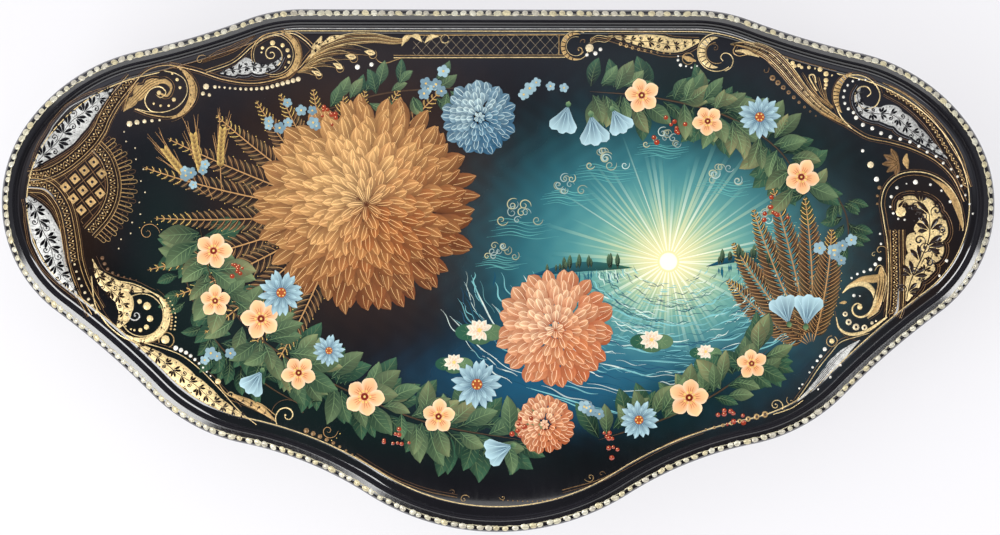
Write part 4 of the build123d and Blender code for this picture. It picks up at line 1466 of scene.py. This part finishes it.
def draw_sides():
    """On the wall a running scroll between double lines, and on the lid's side dots between two lines.

    The stem is a sine round the box. Under each of its arches a branch winds in to a rosette.
    """
    wall_gold, skirt_gold = Paint(on_side), Paint(on_side)
    wall_lines, skirt_lines, skirt_dots = (8.0, 9.1, 38.4, 39.5), (47.4, 50.7), 49.05
    middle, swing, bays, dot_count, dot_falls = 23.7, 6.6, 40, 230, (-9.5, -11.6)
    bay = 2 * half_edge / bays
    x = np.arange(0, 2 * half_edge + 0.5, 1.0)
    for paint, heights in ((wall_gold, wall_lines), (skirt_gold, skirt_lines)):
        for height in heights:
            colour = gold_light if height in (heights[0], heights[-1]) else gold_deep
            paint.line(np.stack([x, np.full_like(x, height)], -1), 0.4, colour)
    wall_gold.line(np.stack([x, middle + swing * np.sin(np.pi * x / bay)], -1), 0.55, gold)
    petals = np.array([1.15 * towards(60 * k) for k in range(6)])
    for number in range(bays):
        side = 1 if number % 2 == 0 else -1
        centre = np.array([(number + 0.5) * bay, middle + side * 0.6])
        branch = spiral(centre, 0.4 * bay, 0.07 * bay, 180, -560 * side, 0.6)
        wall_gold.line(branch, np.linspace(0.3, 0.6, len(branch)), gold_light)
        wall_gold.dots(centre + petals, 0.45, pearl_warm)
        wall_gold.dots([centre], 0.5, gold_light)
        for lean, length, colour in ((-52, 4.2, gold), (-18, 5.0, gold_light), (18, 5.0, gold_light),
                                     (52, 4.2, gold)):
            foot = np.array([centre[0], middle + side * (swing + 0.5)]) + (0.05 * lean, 0)
            draw_drop(foot, side * 90 - lean * side, length, 1.2, colour, 10, wall_gold, 0.0)
        wall_gold.dots([centre + (0, side * fall) for fall in dot_falls], (0.5, 0.34), pearl_warm)
    dots = np.arange(0, 2 * half_edge - 1, 2 * half_edge / dot_count)
    radii = np.where(np.arange(dot_count) % 2, 0.34, 0.55)
    skirt_gold.dots(np.stack([dots, np.full(dot_count, skirt_dots)], -1), radii, pearl_warm)
    wall_gold.make("wall_scroll", "box", GOLD_PAINT)
    skirt_gold.make("skirt_lines", "lid", GOLD_PAINT)


draw_sides()


# The painting in the middle: a great dahlia, a lake at sunrise, ferns, and garlands of leaves and flowers

night, lake_deep, lake, lake_light = (
    linear(14, 14, 17), linear(16, 52, 68), linear(34, 108, 122), linear(96, 168, 162))
dawn, dawn_pale, sun = linear(150, 178, 128), linear(226, 216, 160), linear(255, 246, 214)
foam, ripple, ripple_dark = linear(214, 230, 218), linear(120, 182, 184), linear(18, 66, 88)
amber, amber_light, amber_dark = linear(178, 104, 48), linear(222, 164, 96), linear(74, 38, 22)
umber, bronze, bronze_light = linear(44, 30, 22), linear(96, 68, 44), linear(168, 128, 82)
leaf_dark, leaf_green, leaf_pale = linear(11, 27, 25), linear(38, 80, 60), linear(122, 146, 100)
peach, peach_light, peach_deep = linear(216, 142, 90), linear(242, 194, 144), linear(150, 72, 40)
sky, sky_light, sky_deep = linear(88, 134, 156), linear(170, 200, 206), linear(30, 70, 96)
berry, straw = linear(138, 40, 26), linear(220, 186, 104)

# A many-petalled flower's colours: its petals from root to tip, their shadow, and their light
amber_flower = (amber, amber_light, amber_dark, linear(246, 208, 146))
peach_flower = (peach, peach_light, peach_deep, linear(252, 230, 196))
sky_flower = (sky, sky_light, sky_deep, linear(222, 236, 226))

# Soft fields of colour under the strokes: the middle's pixel, reach along and across in millimetres, tilt in
# degrees, colour, strength and firmness of the edge
soft_fields = [
    (640, 275, 47, 31, -6, lake_deep, 1.0, 5.0),
    (360, 190, 38, 36, 0, umber, 1.0, 4.0),
    (790, 270, 22, 34, 12, umber, 0.85, 3.0),
    (662, 250, 39, 30, 0, lake, 0.95, 2.8),
    (600, 370, 46, 13, 6, linear(20, 78, 106), 0.9, 3.0),
    (668, 262, 26, 21, 0, lake_light, 0.9, 2.2),
    (668, 262, 16, 13, 0, dawn, 0.95, 2.2),
    (668, 262, 9.5, 8, 0, dawn_pale, 1.0, 2.4),
    (250, 350, 34, 14, -38, leaf_dark, 0.9, 2.6),
    (420, 425, 34, 9, -12, leaf_dark, 0.9, 2.6),
    (720, 110, 36, 10, -22, leaf_dark, 0.85, 2.6),
    (170, 240, 9, 22, 8, leaf_dark, 0.8, 2.4),
    (700, 395, 24, 9, 24, leaf_dark, 0.85, 2.6),
    (72, 190, 13, 26, 0, linear(30, 20, 14), 1.0, 4.0),
    (160, 92, 13, 9, 15, linear(28, 20, 15), 0.9, 4.0),
    (922, 250, 11, 24, 0, linear(26, 18, 13), 0.9, 4.0),
    (300, 55, 34, 6, 0, linear(26, 19, 15), 0.8, 4.0),
]


def ground_colour(x, y):
    """The panel's painted ground: soft fields over black, each strength times exp(-distance ^ firmness)."""
    colours = np.broadcast_to(np.array(night), x.shape + (4,)).copy()
    for field_x, field_y, reach_along, reach_across, tilt, colour, strength, firmness in soft_fields:
        from_x, from_y = x - spot(field_x, field_y)[0], y - spot(field_x, field_y)[1]
        cosine, sine = towards(tilt)
        along, across = from_x * cosine + from_y * sine, from_y * cosine - from_x * sine
        swell = 1 + 0.05 * np.sin(along * 0.9 + 2.2 * np.sin(across * 0.35)) * np.cos(across * 0.7)
        distance = np.hypot(along / reach_along, across / reach_across) * swell
        cover = (strength * np.exp(-distance ** firmness))[..., None]
        colours = colours * (1 - cover) + np.array(colour) * cover
    return opaque(colours)


def ground_under(path):
    """The ground's mean colour under a path."""
    return ground_colour(path[:, 0], path[:, 1]).mean(axis=0)


def on_painting(x, y, lift):
    """Points of the painting, whose layers lie much closer together than those of the border."""
    return on_lid(x, y, 0.45 * lift)


leaf_paint, frond_paint, petal_paint, vein_paint, line_paint, ripple_paint = (
    Paint(on_painting, -0.007) for _ in range(6))
lens_widths = (0.04, 0.5, 0.84, 1.0, 0.9, 0.56, 0.03)
round_widths = (0.12, 0.5, 0.82, 1.0, 1.02, 0.78, 0.12)
strap_widths = (0.3, 0.6, 0.82, 0.95, 1.0, 0.74, 0.08)
bell_widths = (0.2, 0.42, 0.6, 0.72, 0.86, 1.0, 0.3)

# Levels of the painting's layers, and the step from a leaf up to its veins
low_level, cloud_level, lily_level, garland_level = 0.02, 0.03, 0.06, 0.19
dahlia_level, flower_level, spray_level, vein_step = 0.2, 0.38, 0.4, 0.006


def blend(first, second, share):
    """A mix of two colours, or arrays of them."""
    return np.asarray(first) * (1 - share) + np.asarray(second) * share


def round_about(centre, radius, count, start=0.0):
    """Places at even angles round a centre."""
    return centre + np.array([radius * towards(start + 360 / count * number) for number in range(count)])


def draw_petal(path, width, table, root_colour, tip_colour, over, light=0.15, rim=None, paint=petal_paint):
    """A filled petal or leaf: widths by share along its path, a colour from root to tip, one half lighter."""
    share = shares(path)
    half = width / 2 * by_share(table, share)
    across = across_steps(7)[None, :, None]
    tints = blend(root_colour, tip_colour, share[:, None, None] ** 1.3) * (1 + light * across)
    if rim is not None:
        tints = blend(tints, rim, 0.75 * np.abs(across) ** 4)
    paint.blade(path, half, half, opaque(tints * (1 + rng.uniform(-0.08, 0.08))), over, 0.003, 7)
    return half


def draw_fine(path, width, colour, over, taper=0.4, paint=line_paint):
    """A thin flat line of the painting."""
    paint.line(path, width, colour, over, taper, 0.1, 0.004)


def draw_seeds(centres, radii, colour, over, dome=0.1, sides=6, paint=petal_paint):
    """Small domes of the painting."""
    paint.dots(centres, radii, colour, over, dome=dome, sides=sides)


def draw_green_leaf(root, heading, length, width, turn, tone, over):
    """A leaf with a midrib, veins that lean forward, one lit half, and a tip that turns warm."""
    path = bend(root, heading, length, turn)
    light = max(tone, 0.0)
    dark = blend(leaf_dark, leaf_green, 0.15 + 0.4 * tone)
    lit = blend(leaf_green, leaf_pale, 0.1 + 0.75 * light)
    lit = blend(lit, blend(peach, leaf_green, 0.4), 0.45 * light * rng.uniform(0, 1))
    half = draw_petal(path, width, lens_widths, dark, lit, over, 0.4, blend(dark, lit, 0.45), leaf_paint)
    vein = blend(dark, leaf_pale, 0.45 + 0.45 * light)
    draw_fine(path, 0.2, vein, over + vein_step, paint=vein_paint)
    for share in (0.16, 0.3, 0.44, 0.58, 0.72):
        foot, normal = at_share(path, share)
        end, _ = at_share(path, share + 0.17)
        for side, colour in ((1, vein), (-1, blend(vein, dark, 0.4))):
            tip = end + normal * side * 0.82 * by_share(half, share + 0.12)
            draw_fine(np.linspace(foot, tip, 4), 0.13, colour, over + vein_step, paint=vein_paint)


def draw_garland(path, count, length, tone_low, tone_high, over=low_level):
    """Leaves that spring from both sides of a path, the dim ones first and the lit ones over them."""
    painting_inset, fade_run = 11.0, 9
    for number, tone in enumerate(np.sort(rng.uniform(tone_low, tone_high, count))):
        foot, normal = at_share(path, rng.uniform(0, 1))
        side = 1 if number % 2 else -1
        heading = ahead_of(normal) + side * rng.uniform(18, 100)
        size = length * rng.uniform(0.75, 1.2)
        root = foot + normal * side * rng.uniform(0, 2.4)
        clear = edge_distance(*(root + size * towards(heading))) - painting_inset
        if clear > 0:
            draw_green_leaf(root, heading, size, size * rng.uniform(0.4, 0.52), rng.uniform(-38, 38),
                            tone - 0.5 * max(1 - clear / fade_run, 0), over + 0.012 * (number % 13))
    draw_fine(path, 0.4, blend(leaf_dark, bronze, 0.5), over)


def draw_dahlia(centre, reach, rings, count, over, colours, swirl=14.0):
    """A many-petalled flower: rings of curved petals from the outside in, with fine light and dark lines."""
    root_colour, tip_colour, shadow, highlight = colours
    for ring in range(rings):
        inward = ring / (rings - 1)
        foot_radius = reach * 0.66 * (1 - inward) ** 0.9
        length = reach * (0.37 - 0.2 * inward)
        petals = max(int(count * (1 - 0.72 * inward)), 7)
        for number in range(petals):
            heading = 360 * (number + 0.5 * (ring % 2) + rng.uniform(-0.12, 0.12)) / petals
            root = centre + foot_radius * towards(heading)
            lean, turn = rng.uniform(-14, 14), rng.uniform(-0.6, 1.4) * swirl
            path = bend(root, heading + lean, length * rng.uniform(0.86, 1.14), turn, 8)
            width = 2 * math.pi * (foot_radius + 0.6 * length) / petals * rng.uniform(1.05, 1.4)
            level = over + 0.017 * ring + 0.004 * (number % 3)
            lit = 0.5 + 0.5 * math.cos(math.radians(heading - 130))
            tip = blend(root_colour, tip_colour, np.clip(0.85 * lit + rng.uniform(-0.2, 0.35), 0, 1))
            tip = blend(tip, highlight, 0.55 * lit * (0.25 + 0.75 * inward))
            tip = blend(shadow, tip, np.clip(0.3 + 0.3 * lit + 0.9 * inward, 0, 1))
            half = draw_petal(path, width, strap_widths, shadow, tip, level, 0.3, blend(tip, shadow, 0.7))
            for offset, colour, thickness in ((-0.66, shadow, 0.2), (-0.34, highlight, 0.16),
                                              (0.0, shadow, 0.14), (0.3, highlight, 0.2),
                                              (0.6, shadow, 0.14)):
                draw_fine(beside(path, offset * half)[1:], thickness, blend(tip, colour, 0.7), level + 0.003)


def draw_open_flower(centre, reach, heading):
    """A flat flower of five round petals, with a dark eye, fine lines out of it and a ring of stamens."""
    petals, rim, eye = 5, blend(peach_light, foam, 0.4), blend(berry, umber, 0.4)
    top = flower_level + 0.005 * petals + 0.004
    for number in range(petals):
        turn = heading + 360 * number / petals
        length, bow = reach * rng.uniform(0.9, 1.05), rng.uniform(-10, 10)
        path = bend(centre + 0.08 * reach * towards(turn), turn, length, bow, 8)
        draw_petal(path, 2.2 * math.pi * reach / petals * 0.62, round_widths, peach, peach_light,
                   flower_level + 0.005 * number, 0.08, rim)
        for lean in (-14, 0, 14):
            vein = bend(centre + 0.2 * reach * towards(turn + lean), turn + lean, 0.42 * reach, 0, 4)
            draw_fine(vein, 0.16, blend(peach, eye, 0.5), top, 0.8)
    draw_seeds(centre, 0.2 * reach, eye, top + 0.004, 0.02, 12)
    draw_seeds(round_about(centre, 0.3 * reach, 10), 0.05 * reach + 0.08, straw, top + 0.004)
    draw_seeds(centre, 0.09 * reach, straw, top + 0.01, 0.05, 8)


def draw_aster(centre, reach):
    """A flower of two rings of narrow petals round a dotted eye."""
    for ring, (count, share) in enumerate(((15, 1.0), (11, 0.66))):
        for number in range(count):
            turn = 360 * (number + 0.4 * ring) / count + rng.uniform(-4, 4)
            length, bow = reach * share * rng.uniform(0.82, 1.0), rng.uniform(-16, 16)
            path = bend(centre + 0.12 * reach * towards(turn), turn, length, bow, 6)
            level = flower_level + 0.012 * ring + 0.003 * (number % 3)
            draw_petal(path, 0.34 * reach * share, strap_widths, sky_deep, sky_light, level, 0.12,
                       blend(sky_light, sky_deep, 0.5))
            draw_fine(path, 0.12, sky_light, level + 0.003)
    draw_seeds(centre, 0.24 * reach, blend(berry, amber, 0.4), flower_level + 0.03, 0.03, 10)
    draw_seeds(round_about(centre, 0.15 * reach, 6), 0.06 * reach, straw, flower_level + 0.036)


def draw_forget_me_not(centre, reach):
    """Five small round petals and a yellow eye."""
    petals = round_about(centre, 0.62 * reach, 5, rng.uniform(0, 72))
    draw_seeds(petals, 0.46 * reach, blend(sky_deep, sky_light, rng.uniform(0.3, 0.7)), spray_level, 0.02, 8)
    draw_seeds(centre, 0.2 * reach, straw, spray_level + 0.012, 0.05)


def draw_bell(neck, heading, length):
    """A bell flower: three long petals from a narrow neck, flared and turned out at the mouth."""
    for lean, turn in ((-13, -26), (13, 26), (0, 0)):
        path = bend(neck, heading + lean, length, turn, 8)
        level = flower_level + (0.006 if lean == 0 else 0.0)
        draw_petal(path, 0.5 * length, bell_widths, sky_deep, sky_light, level, 0.14, sky_light)
        draw_fine(path, 0.14, sky_light, flower_level + 0.011)
    foot = bend(neck, heading + 180, 0.25 * length, 0, 4)
    draw_petal(foot, 0.22 * length, lens_widths, leaf_green, leaf_pale, flower_level + 0.012,
               paint=leaf_paint)


def draw_fern(root, heading, length, turn, reach, over):
    """A fern frond: pairs of narrow bronze leaflets that shorten to the tip, with gold lines and dots."""
    spine = bend(root, heading, length, turn, 26)
    draw_fine(spine, 0.34, bronze_light, over + 0.02, 0.2)
    for number, share in enumerate(np.linspace(0.06, 0.98, 27)):
        foot, normal = at_share(spine, share)
        size = reach * math.sin(math.pi * (0.12 + 0.86 * share)) ** 0.75 * (1.08 - 0.4 * share)
        for side in (1, -1):
            leaflet = bend(foot, ahead_of(normal) + side * 62, size, -side * 30, 6)
            tip_colour = blend(bronze, leaf_green, rng.uniform(0, 0.4))
            draw_petal(leaflet, 0.78 + 0.1 * size, lens_widths, umber, tip_colour, over, 0.2,
                       paint=frond_paint)
            draw_fine(leaflet, 0.15, bronze_light if share < 0.8 else straw, over + 0.008, paint=frond_paint)
            if number % 2:
                beyond = leaflet[-1] + 0.35 * (leaflet[-1] - leaflet[-2])
                draw_seeds(beyond, 0.13, straw, over, paint=frond_paint)


def draw_ear(root, heading, length, turn):
    """An ear of grain: pairs of grains up a stalk, with long awns."""
    stalk = bend(root, heading, length, turn, 16)
    draw_fine(stalk, 0.26, bronze_light, dahlia_level)
    for share in np.linspace(0.45, 1.0, 9):
        foot, normal = at_share(stalk, share)
        ahead = ahead_of(normal)
        for side in (1, -1):
            grain = bend(foot, ahead + side * 30, 2.1, -side * 20, 6)
            draw_petal(grain, 1.0, lens_widths, bronze, straw, dahlia_level + 0.01, 0.2)
            awn = bend(grain[-1], ahead + side * rng.uniform(2, 24), rng.uniform(4, 6.5), -side * 6, 5)
            draw_fine(awn, 0.11, bronze_light, dahlia_level + 0.01)


def draw_tendril(centre, radius, turn):
    """A thin gold spiral with a few dots along its outside."""
    path = spiral(centre, radius, radius * 0.14, 0, turn)
    draw_fine(path, 0.17, bronze_light, low_level)
    dots, normal = at_share(path, np.linspace(0.05, 0.5, 5))
    draw_seeds(dots - np.sign(turn) * normal * 0.7, 0.14, straw, low_level, paint=line_paint)


def draw_dawn():
    """Rays out of the sun that fade into the ground, ripples under it, and the sun itself."""
    middle, flat, rays, ripples = spot(668, 262), np.array([1.0, 0.62]), 88, 620
    for number in range(rays):
        heading = 360 * (number + rng.uniform(-0.25, 0.25)) / rays
        length = rng.uniform(17, 34 if heading < 180 else 25)
        ray = bend(middle + 2.6 * towards(heading), heading, length, 0, 12)
        share = shares(ray)[:, None]
        glow = blend(dawn_pale if number % 3 else sun, lake_light, share)
        tints = blend(glow, ground_colour(ray[:, 0], ray[:, 1]), share ** 1.3)[:, None]
        width = rng.uniform(0.1, 0.3) * (0.5 + share[:, 0] * 1.6)
        ripple_paint.blade(ray, width, width, tints, 0.012, 0.002, 3)
    for number in range(ripples):
        radius = rng.uniform(9, 66)
        start, turn = rng.uniform(184, 340), rng.uniform(5, 22)
        path = middle + spiral((0, 0), radius, radius * rng.uniform(0.98, 1.02), start, turn, 1.0) * flat
        wave = 0.35 * np.sin(np.linspace(0, rng.uniform(4, 12), len(path)))
        path = beside(path, wave) if len(path) > 4 else path
        colour = (foam, ripple, ripple_dark, ripple, sky_deep)[number % 5]
        under = ground_under(path)
        if edge_distance(*path.mean(axis=0)) > 20 and under[2] > 0.03:
            width, share = rng.uniform(0.14, 0.42), rng.uniform(0.45, 0.95)
            level = low_level + 0.0012 * (number % 9)
            draw_fine(path, width, blend(under, colour, share), level, 0.7, ripple_paint)
    for radius, colour, level in ((2.9, dawn_pale, 0.018), (2.3, sun, 0.026)):
        petal_paint.dots(middle, radius, colour, level, dome=0.004, sides=32, jitter=0)


def draw_ferns():
    """Two fans of bronze fronds at the right, and a few behind the dahlia."""
    root = spot(812, 348)
    fans = ((150, 27, -18), (134, 33, -14), (118, 38, -10), (102, 42, 4), (88, 38, 10), (74, 30, 14))
    for number, (heading, length, turn) in enumerate(fans):
        draw_fern(root + 1.5 * towards(heading), heading, length, turn, 5.4, low_level + 0.022 * number)
    root = spot(344, 210)
    for number, heading in enumerate(range(58, 262, 13)):
        reach, turn = 50 + 4 * (number % 2), -14 + 3 * (number % 3)
        while edge_distance(*bend(root, heading, reach, turn)[-1]) < 21:
            reach -= 1
        draw_fern(root, heading, reach, turn, 4.8, low_level + 0.011 * number)


def draw_garlands():
    """Leaves round the left and along the front, over the top right, and under the lake, dim ones first."""
    left = drawn(200, 226, 212, 276, 246, 324, 296, 362, 362, 396, 436, 424, 524, 440)
    back_right = drawn(588, 92, 650, 98, 722, 116, 776, 150, 806, 196)
    lake_shore = drawn(600, 440, 668, 418, 726, 388, 768, 350)
    for path, count, length in ((left, 96, 9.0), (back_right, 60, 8.0), (lake_shore, 48, 8.4)):
        draw_garland(path, count, length * 1.1, -0.6, 0.1)
        draw_garland(path, count, length, 0.25, 1.0, garland_level)
    draw_garland(drawn(306, 116, 350, 102, 392, 92, 456, 88), 26, 6.0, 0.0, 0.8)
    draw_garland(drawn(180, 250, 194, 300, 222, 346, 268, 384, 310, 408), 50, 6.4, -0.6, -0.2)
    draw_garland(drawn(836, 196, 846, 220, 848, 250), 14, 5.2, -0.75, -0.2)


def draw_cloud(centre, reach):
    """A cloud of spirals in rows, each row wider than the one above, on long lines that taper."""
    for number in range(9):
        row = number % 3
        place = centre + reach * np.array([rng.uniform(-0.7, 0.7) * (0.5 + 0.4 * row), 0.35 - 0.3 * row])
        size = reach * rng.uniform(0.18, 0.34)
        path = spiral(place, size, size * 0.2, rng.uniform(-20, 60), 480 * rng.choice([-1, 1]))
        colour = blend(ground_under(path), foam if number % 2 else dawn_pale, rng.uniform(0.3, 0.6))
        draw_fine(path, 0.2 + 0.04 * size, colour, cloud_level + 0.002 * number)
    for row in range(6):
        half = reach * rng.uniform(0.8, 1.5)
        line_x, line_y = (-half, -half / 3, half / 3, half), (0, 0.1 * reach, -0.06 * reach, 0.05 * reach)
        places = centre + np.stack([line_x, line_y], -1)
        path = through(places + (rng.uniform(-1, 1), -reach * (0.3 + 0.13 * row)))
        draw_fine(path, rng.uniform(0.16, 0.3), blend(ground_under(path), lake_light, 0.6), cloud_level, 0.8)


def draw_shore():
    """Low shores on both sides of the sun, with rows of slim trees over their own dim reflections."""
    for start_x, start_y, end_x, end_y in ((528, 276, 632, 268), (706, 267, 792, 276)):
        shore = drawn(start_x, start_y, (start_x + end_x) / 2, start_y - 9, end_x, end_y)
        draw_petal(shore, 2.6, lens_widths, ripple_dark, leaf_green, 0.03, 0.3, paint=leaf_paint)
        for number in range(17):
            foot, _ = at_share(shore, rng.uniform(0.1, 0.9))
            tall = rng.uniform(1.6, 4.4)
            tone = blend(leaf_dark, leaf_green, rng.uniform(0.1, 0.9))
            level = 0.036 + 0.003 * number
            tree = bend(foot + (0, -0.4), 90, tall, rng.uniform(-6, 6), 6)
            draw_petal(tree, 0.34 * tall, lens_widths, leaf_dark, blend(tone, dawn, 0.2), level, 0.3,
                       paint=leaf_paint)
            draw_fine(tree, 0.13, blend(tone, dawn_pale, 0.5), level)
            draw_fine(bend(foot + (0, -1.2), -90, 0.8 * tall, 0, 4), 0.5, blend(ripple_dark, lake, 0.4),
                      0.014)


def draw_lily(centre, reach):
    """A water lily on round pads."""
    for number in range(3):
        pad = centre + 0.9 * reach * towards(200 + 70 * number) * (1, 0.5)
        green = blend(leaf_green, leaf_pale, 0.2 * number)
        leaf_paint.dots(pad, 0.62 * reach, green, lily_level, dome=0.004, stretch=1.5, sides=18)
        for vein in range(7):
            draw_fine(bend(pad, 360 * vein / 7 + 12, 0.5 * reach, 0, 3), 0.12, leaf_pale,
                      lily_level + vein_step)
    for ring, (count, share) in enumerate(((9, 1.0), (7, 0.72), (5, 0.45))):
        for number in range(count):
            turn = 20 + 320 * number / count
            path = bend(centre, turn, reach * share * (0.75 + 0.25 * abs(math.cos(math.radians(turn)))), 0, 6)
            level = lily_level + 0.02 + 0.01 * ring + 0.003 * (number % 3)
            draw_petal(path, 0.5 * reach * share, lens_widths, peach, blend(peach_light, foam, 0.7), level,
                       0.1, foam)
    draw_seeds(centre, 0.16 * reach, straw, lily_level + 0.06, sides=8)


def draw_flowers():
    """Ears of grain, dahlias, open flowers, asters, bells, sprays of forget-me-nots, berries and tendrils."""
    for x, y, heading, length, turn in ((214, 200, 118, 17, -20), (206, 194, 140, 15, -14),
                                        (222, 194, 96, 16, -12)):
        draw_ear(spot(x, y), heading, length, turn)
    draw_dahlia(spot(366, 204), 28.0, 12, 46, dahlia_level, amber_flower, 26.0)
    draw_dahlia(spot(556, 330), 15.0, 7, 26, dahlia_level + 0.02, peach_flower)
    draw_dahlia(spot(478, 118), 9.5, 6, 20, dahlia_level + 0.02, sky_flower)
    draw_dahlia(spot(546, 424), 7.6, 5, 18, spray_level, peach_flower)
    open_flowers = ((214, 250, 4.6), (216, 300, 3.9), (262, 318, 4.9), (300, 372, 4.2), (366, 396, 5.0),
                    (440, 416, 4.3), (640, 96, 4.4), (706, 122, 3.9), (800, 178, 4.4), (690, 398, 4.9),
                    (752, 364, 3.7))
    for number, (x, y, reach) in enumerate(open_flowers):
        draw_open_flower(spot(x, y), reach, 17.0 * number)
    for x, y, reach in ((282, 292, 5.6), (478, 384, 6.2), (758, 118, 5.4), (640, 420, 5.0), (330, 350, 4.0)):
        draw_aster(spot(x, y), reach)
    for x, y, heading, length in ((590, 118, -80, 7.5), (566, 108, -104, 7.0), (612, 112, -62, 6.4),
                                  (262, 372, 236, 6.4), (512, 446, 200, 7.0), (806, 324, 84, 7.6),
                                  (788, 322, 108, 7.0)):
        draw_bell(spot(x, y), heading, length)
    for x, y, count, spread in ((300, 118, 9, 30), (426, 84, 7, 26), (540, 86, 5, 20), (842, 248, 7, 20),
                                (222, 352, 4, 12), (586, 408, 6, 20), (196, 168, 6, 18)):
        for _ in range(count):
            centre = spot(x + rng.normal(0, spread * 0.6), y + rng.normal(0, spread * 0.28))
            draw_forget_me_not(centre, rng.uniform(1.0, 1.7))
    for x, y in ((330, 112), (236, 268), (398, 436), (520, 424), (666, 128), (778, 210), (612, 440),
                 (730, 420)):
        centres = spot(x, y) + rng.normal(0, 1.7, (9, 2))
        draw_seeds(centres, rng.uniform(0.4, 0.75, 9), blend(berry, peach_deep, 0.3), spray_level, 0.25, 8)
        draw_seeds(centres + (-0.15, 0.2), 0.14, peach_light, spray_level + 0.2)
    draw_tendril(spot(148, 232), 3.2, 500)
    draw_tendril(spot(330, 430), 2.6, -500)


def draw_painting():
    """The whole painting, from the water up to the flowers."""
    draw_dawn()
    draw_shore()
    for x, y, reach in ((520, 214, 6.5), (566, 186, 5.2), (604, 160, 6.0), (722, 176, 5.6), (500, 252, 4.6),
                        (660, 140, 5.0), (772, 216, 5.0)):
        draw_cloud(spot(x, y), reach)
    for x, y, reach in ((480, 330, 3.6), (455, 362, 2.8), (652, 340, 3.2), (706, 352, 2.4)):
        draw_lily(spot(x, y), reach)
    draw_ferns()
    draw_garlands()
    draw_flowers()
    for name, paint in (("leaves", leaf_paint), ("fronds", frond_paint), ("petals", petal_paint),
                        ("veins", vein_paint), ("lines", line_paint), ("ripples", ripple_paint)):
        paint.make(f"painting_{name}", "lid", PAINTED_LACQUER)


draw_painting()


# The shells and the hinge

make_base_moulding()
make_bottom_board()
make_body_wall()
make_wall_lining()
make_lid_skirt()
make_lid_rim()
make_lid_panel()
for knuckle_name in knuckle_boxes:
    make_knuckle(knuckle_name, "box" if "wall" in knuckle_name else "lid")
dress_metal()


# Floor, light and camera

def make_floor():
    """A white floor that partly glows for the camera, so that it is bright and keeps some of the shadow."""
    half = 4000.0
    square = np.array([[-half, -half, 0], [half, -half, 0], [half, half, 0], [-half, half, 0]])
    mesh = new_mesh("floor", square, np.array([[0, 1, 2, 3]]))
    material, nodes, shader = begin_material("white_floor")
    nodes.fill(shader, Base_Color=linear(240, 239, 242), Roughness=0.9)
    glow = nodes.add("ShaderNodeEmission", Color=linear(246, 245, 248), Strength=1.0)[0]
    share = nodes.times(nodes.add("ShaderNodeLightPath")["Is Camera Ray"], 0.75)
    matt = nodes.tree.nodes["Principled BSDF"].outputs[0]
    mixed = nodes.row(nodes.new("ShaderNodeMixShader"), share, matt, glow)
    nodes.fill(nodes.tree.nodes["Material Output"].inputs, Surface=mixed)
    mesh.materials.append(material)
    place_object("floor", mesh)


def make_world():
    """Even light from the sides under a dark ceiling that is a little brighter and cooler at the back."""
    world = bpy.data.worlds.new("studio")
    bpy.context.scene.world = world
    world.use_nodes = True
    nodes = Nodes(world.node_tree)
    axes = nodes.add("ShaderNodeSeparateXYZ", Vector=nodes.add("ShaderNodeTexCoord")["Generated"])
    x, y, z = (axes[axis] for axis in "XYZ")
    ceiling = nodes.mix(nodes.span(y, -0.12, 0.3, 0.0, 1.0), linear(24, 22, 24), linear(132, 134, 150))
    behind = nodes.times(nodes.span(z, 0.3, 0.42, 1.0, 0.0), nodes.span(y, -0.1, 0.5, 0.0, 1.0))
    across = nodes.span(nodes.maths("ABSOLUTE", x), 0.4, 0.7, 0.0, 0.5)
    beside_box = nodes.times(nodes.span(z, 0.42, 0.6, 0.0, 1.0), across)
    walls = nodes.mix(nodes.maths("MAXIMUM", behind, beside_box), linear(66, 65, 70), linear(190, 192, 204))
    colour = nodes.mix(nodes.span(z, 0.84, 0.96, 0.0, 1.0), walls, ceiling)
    nodes.fill(nodes.tree.nodes["Background"].inputs, Color=colour, Strength=1.0)


def make_softbox(name, place, aim, size, power):
    """A rectangular lamp at a place in metres that faces another."""
    lamp = bpy.data.lights.new(name, "AREA")
    lamp.shape, lamp.size, lamp.size_y, lamp.energy = "RECTANGLE", size[0], size[1], power
    softbox = place_object(name, lamp)
    softbox.location = place
    x, y, z = np.array(aim) - np.array(place)
    softbox.rotation_euler = (math.atan2(math.hypot(x, y), -z), 0.0, math.atan2(y, x) - math.pi / 2)
    return softbox


def make_camera():
    """A long lens straight above the lid, so that the lid's edge spans the frame as in the photograph."""
    camera_height, frame_width, frame_height_over_floor = 2.0, 0.2631, 0.0535
    lens = bpy.data.cameras.new("camera")
    lens.sensor_width = 36.0
    lens.lens = lens.sensor_width * camera_height / frame_width
    camera = place_object("camera", lens)
    camera.location = (0.00053, 0.00087, frame_height_over_floor + camera_height)
    camera.rotation_euler = (0.0, 0.0, 0.0019)
    bpy.context.scene.camera = camera


make_floor()
make_world()
make_softbox("softbox_front_left", (-0.607, -0.517, 0.69), (-0.1, -0.03, 0.055), (0.54, 0.47), 6.3)
make_softbox("softbox_right", (0.625, -0.315, 0.59), (0.115, -0.01, 0.055), (0.275, 0.25), 2.0)
make_softbox("strip_back", (0.0, 0.73, 0.655), (0.0, 0.06, 0.055), (1.5, 0.26), 2.0)
make_softbox("strip_front", (0.0, -0.47, 0.775), (0.0, 0.06, 0.055), (1.2, 0.26), 1.3)
fill = make_softbox("fill", (-0.25, 0.1, 1.0), (0.0, 0.0, 0.05), (0.9, 0.9), 9.0)
fill.visible_glossy = False
make_camera()
bpy.context.scene.view_settings.view_transform = "Standard"
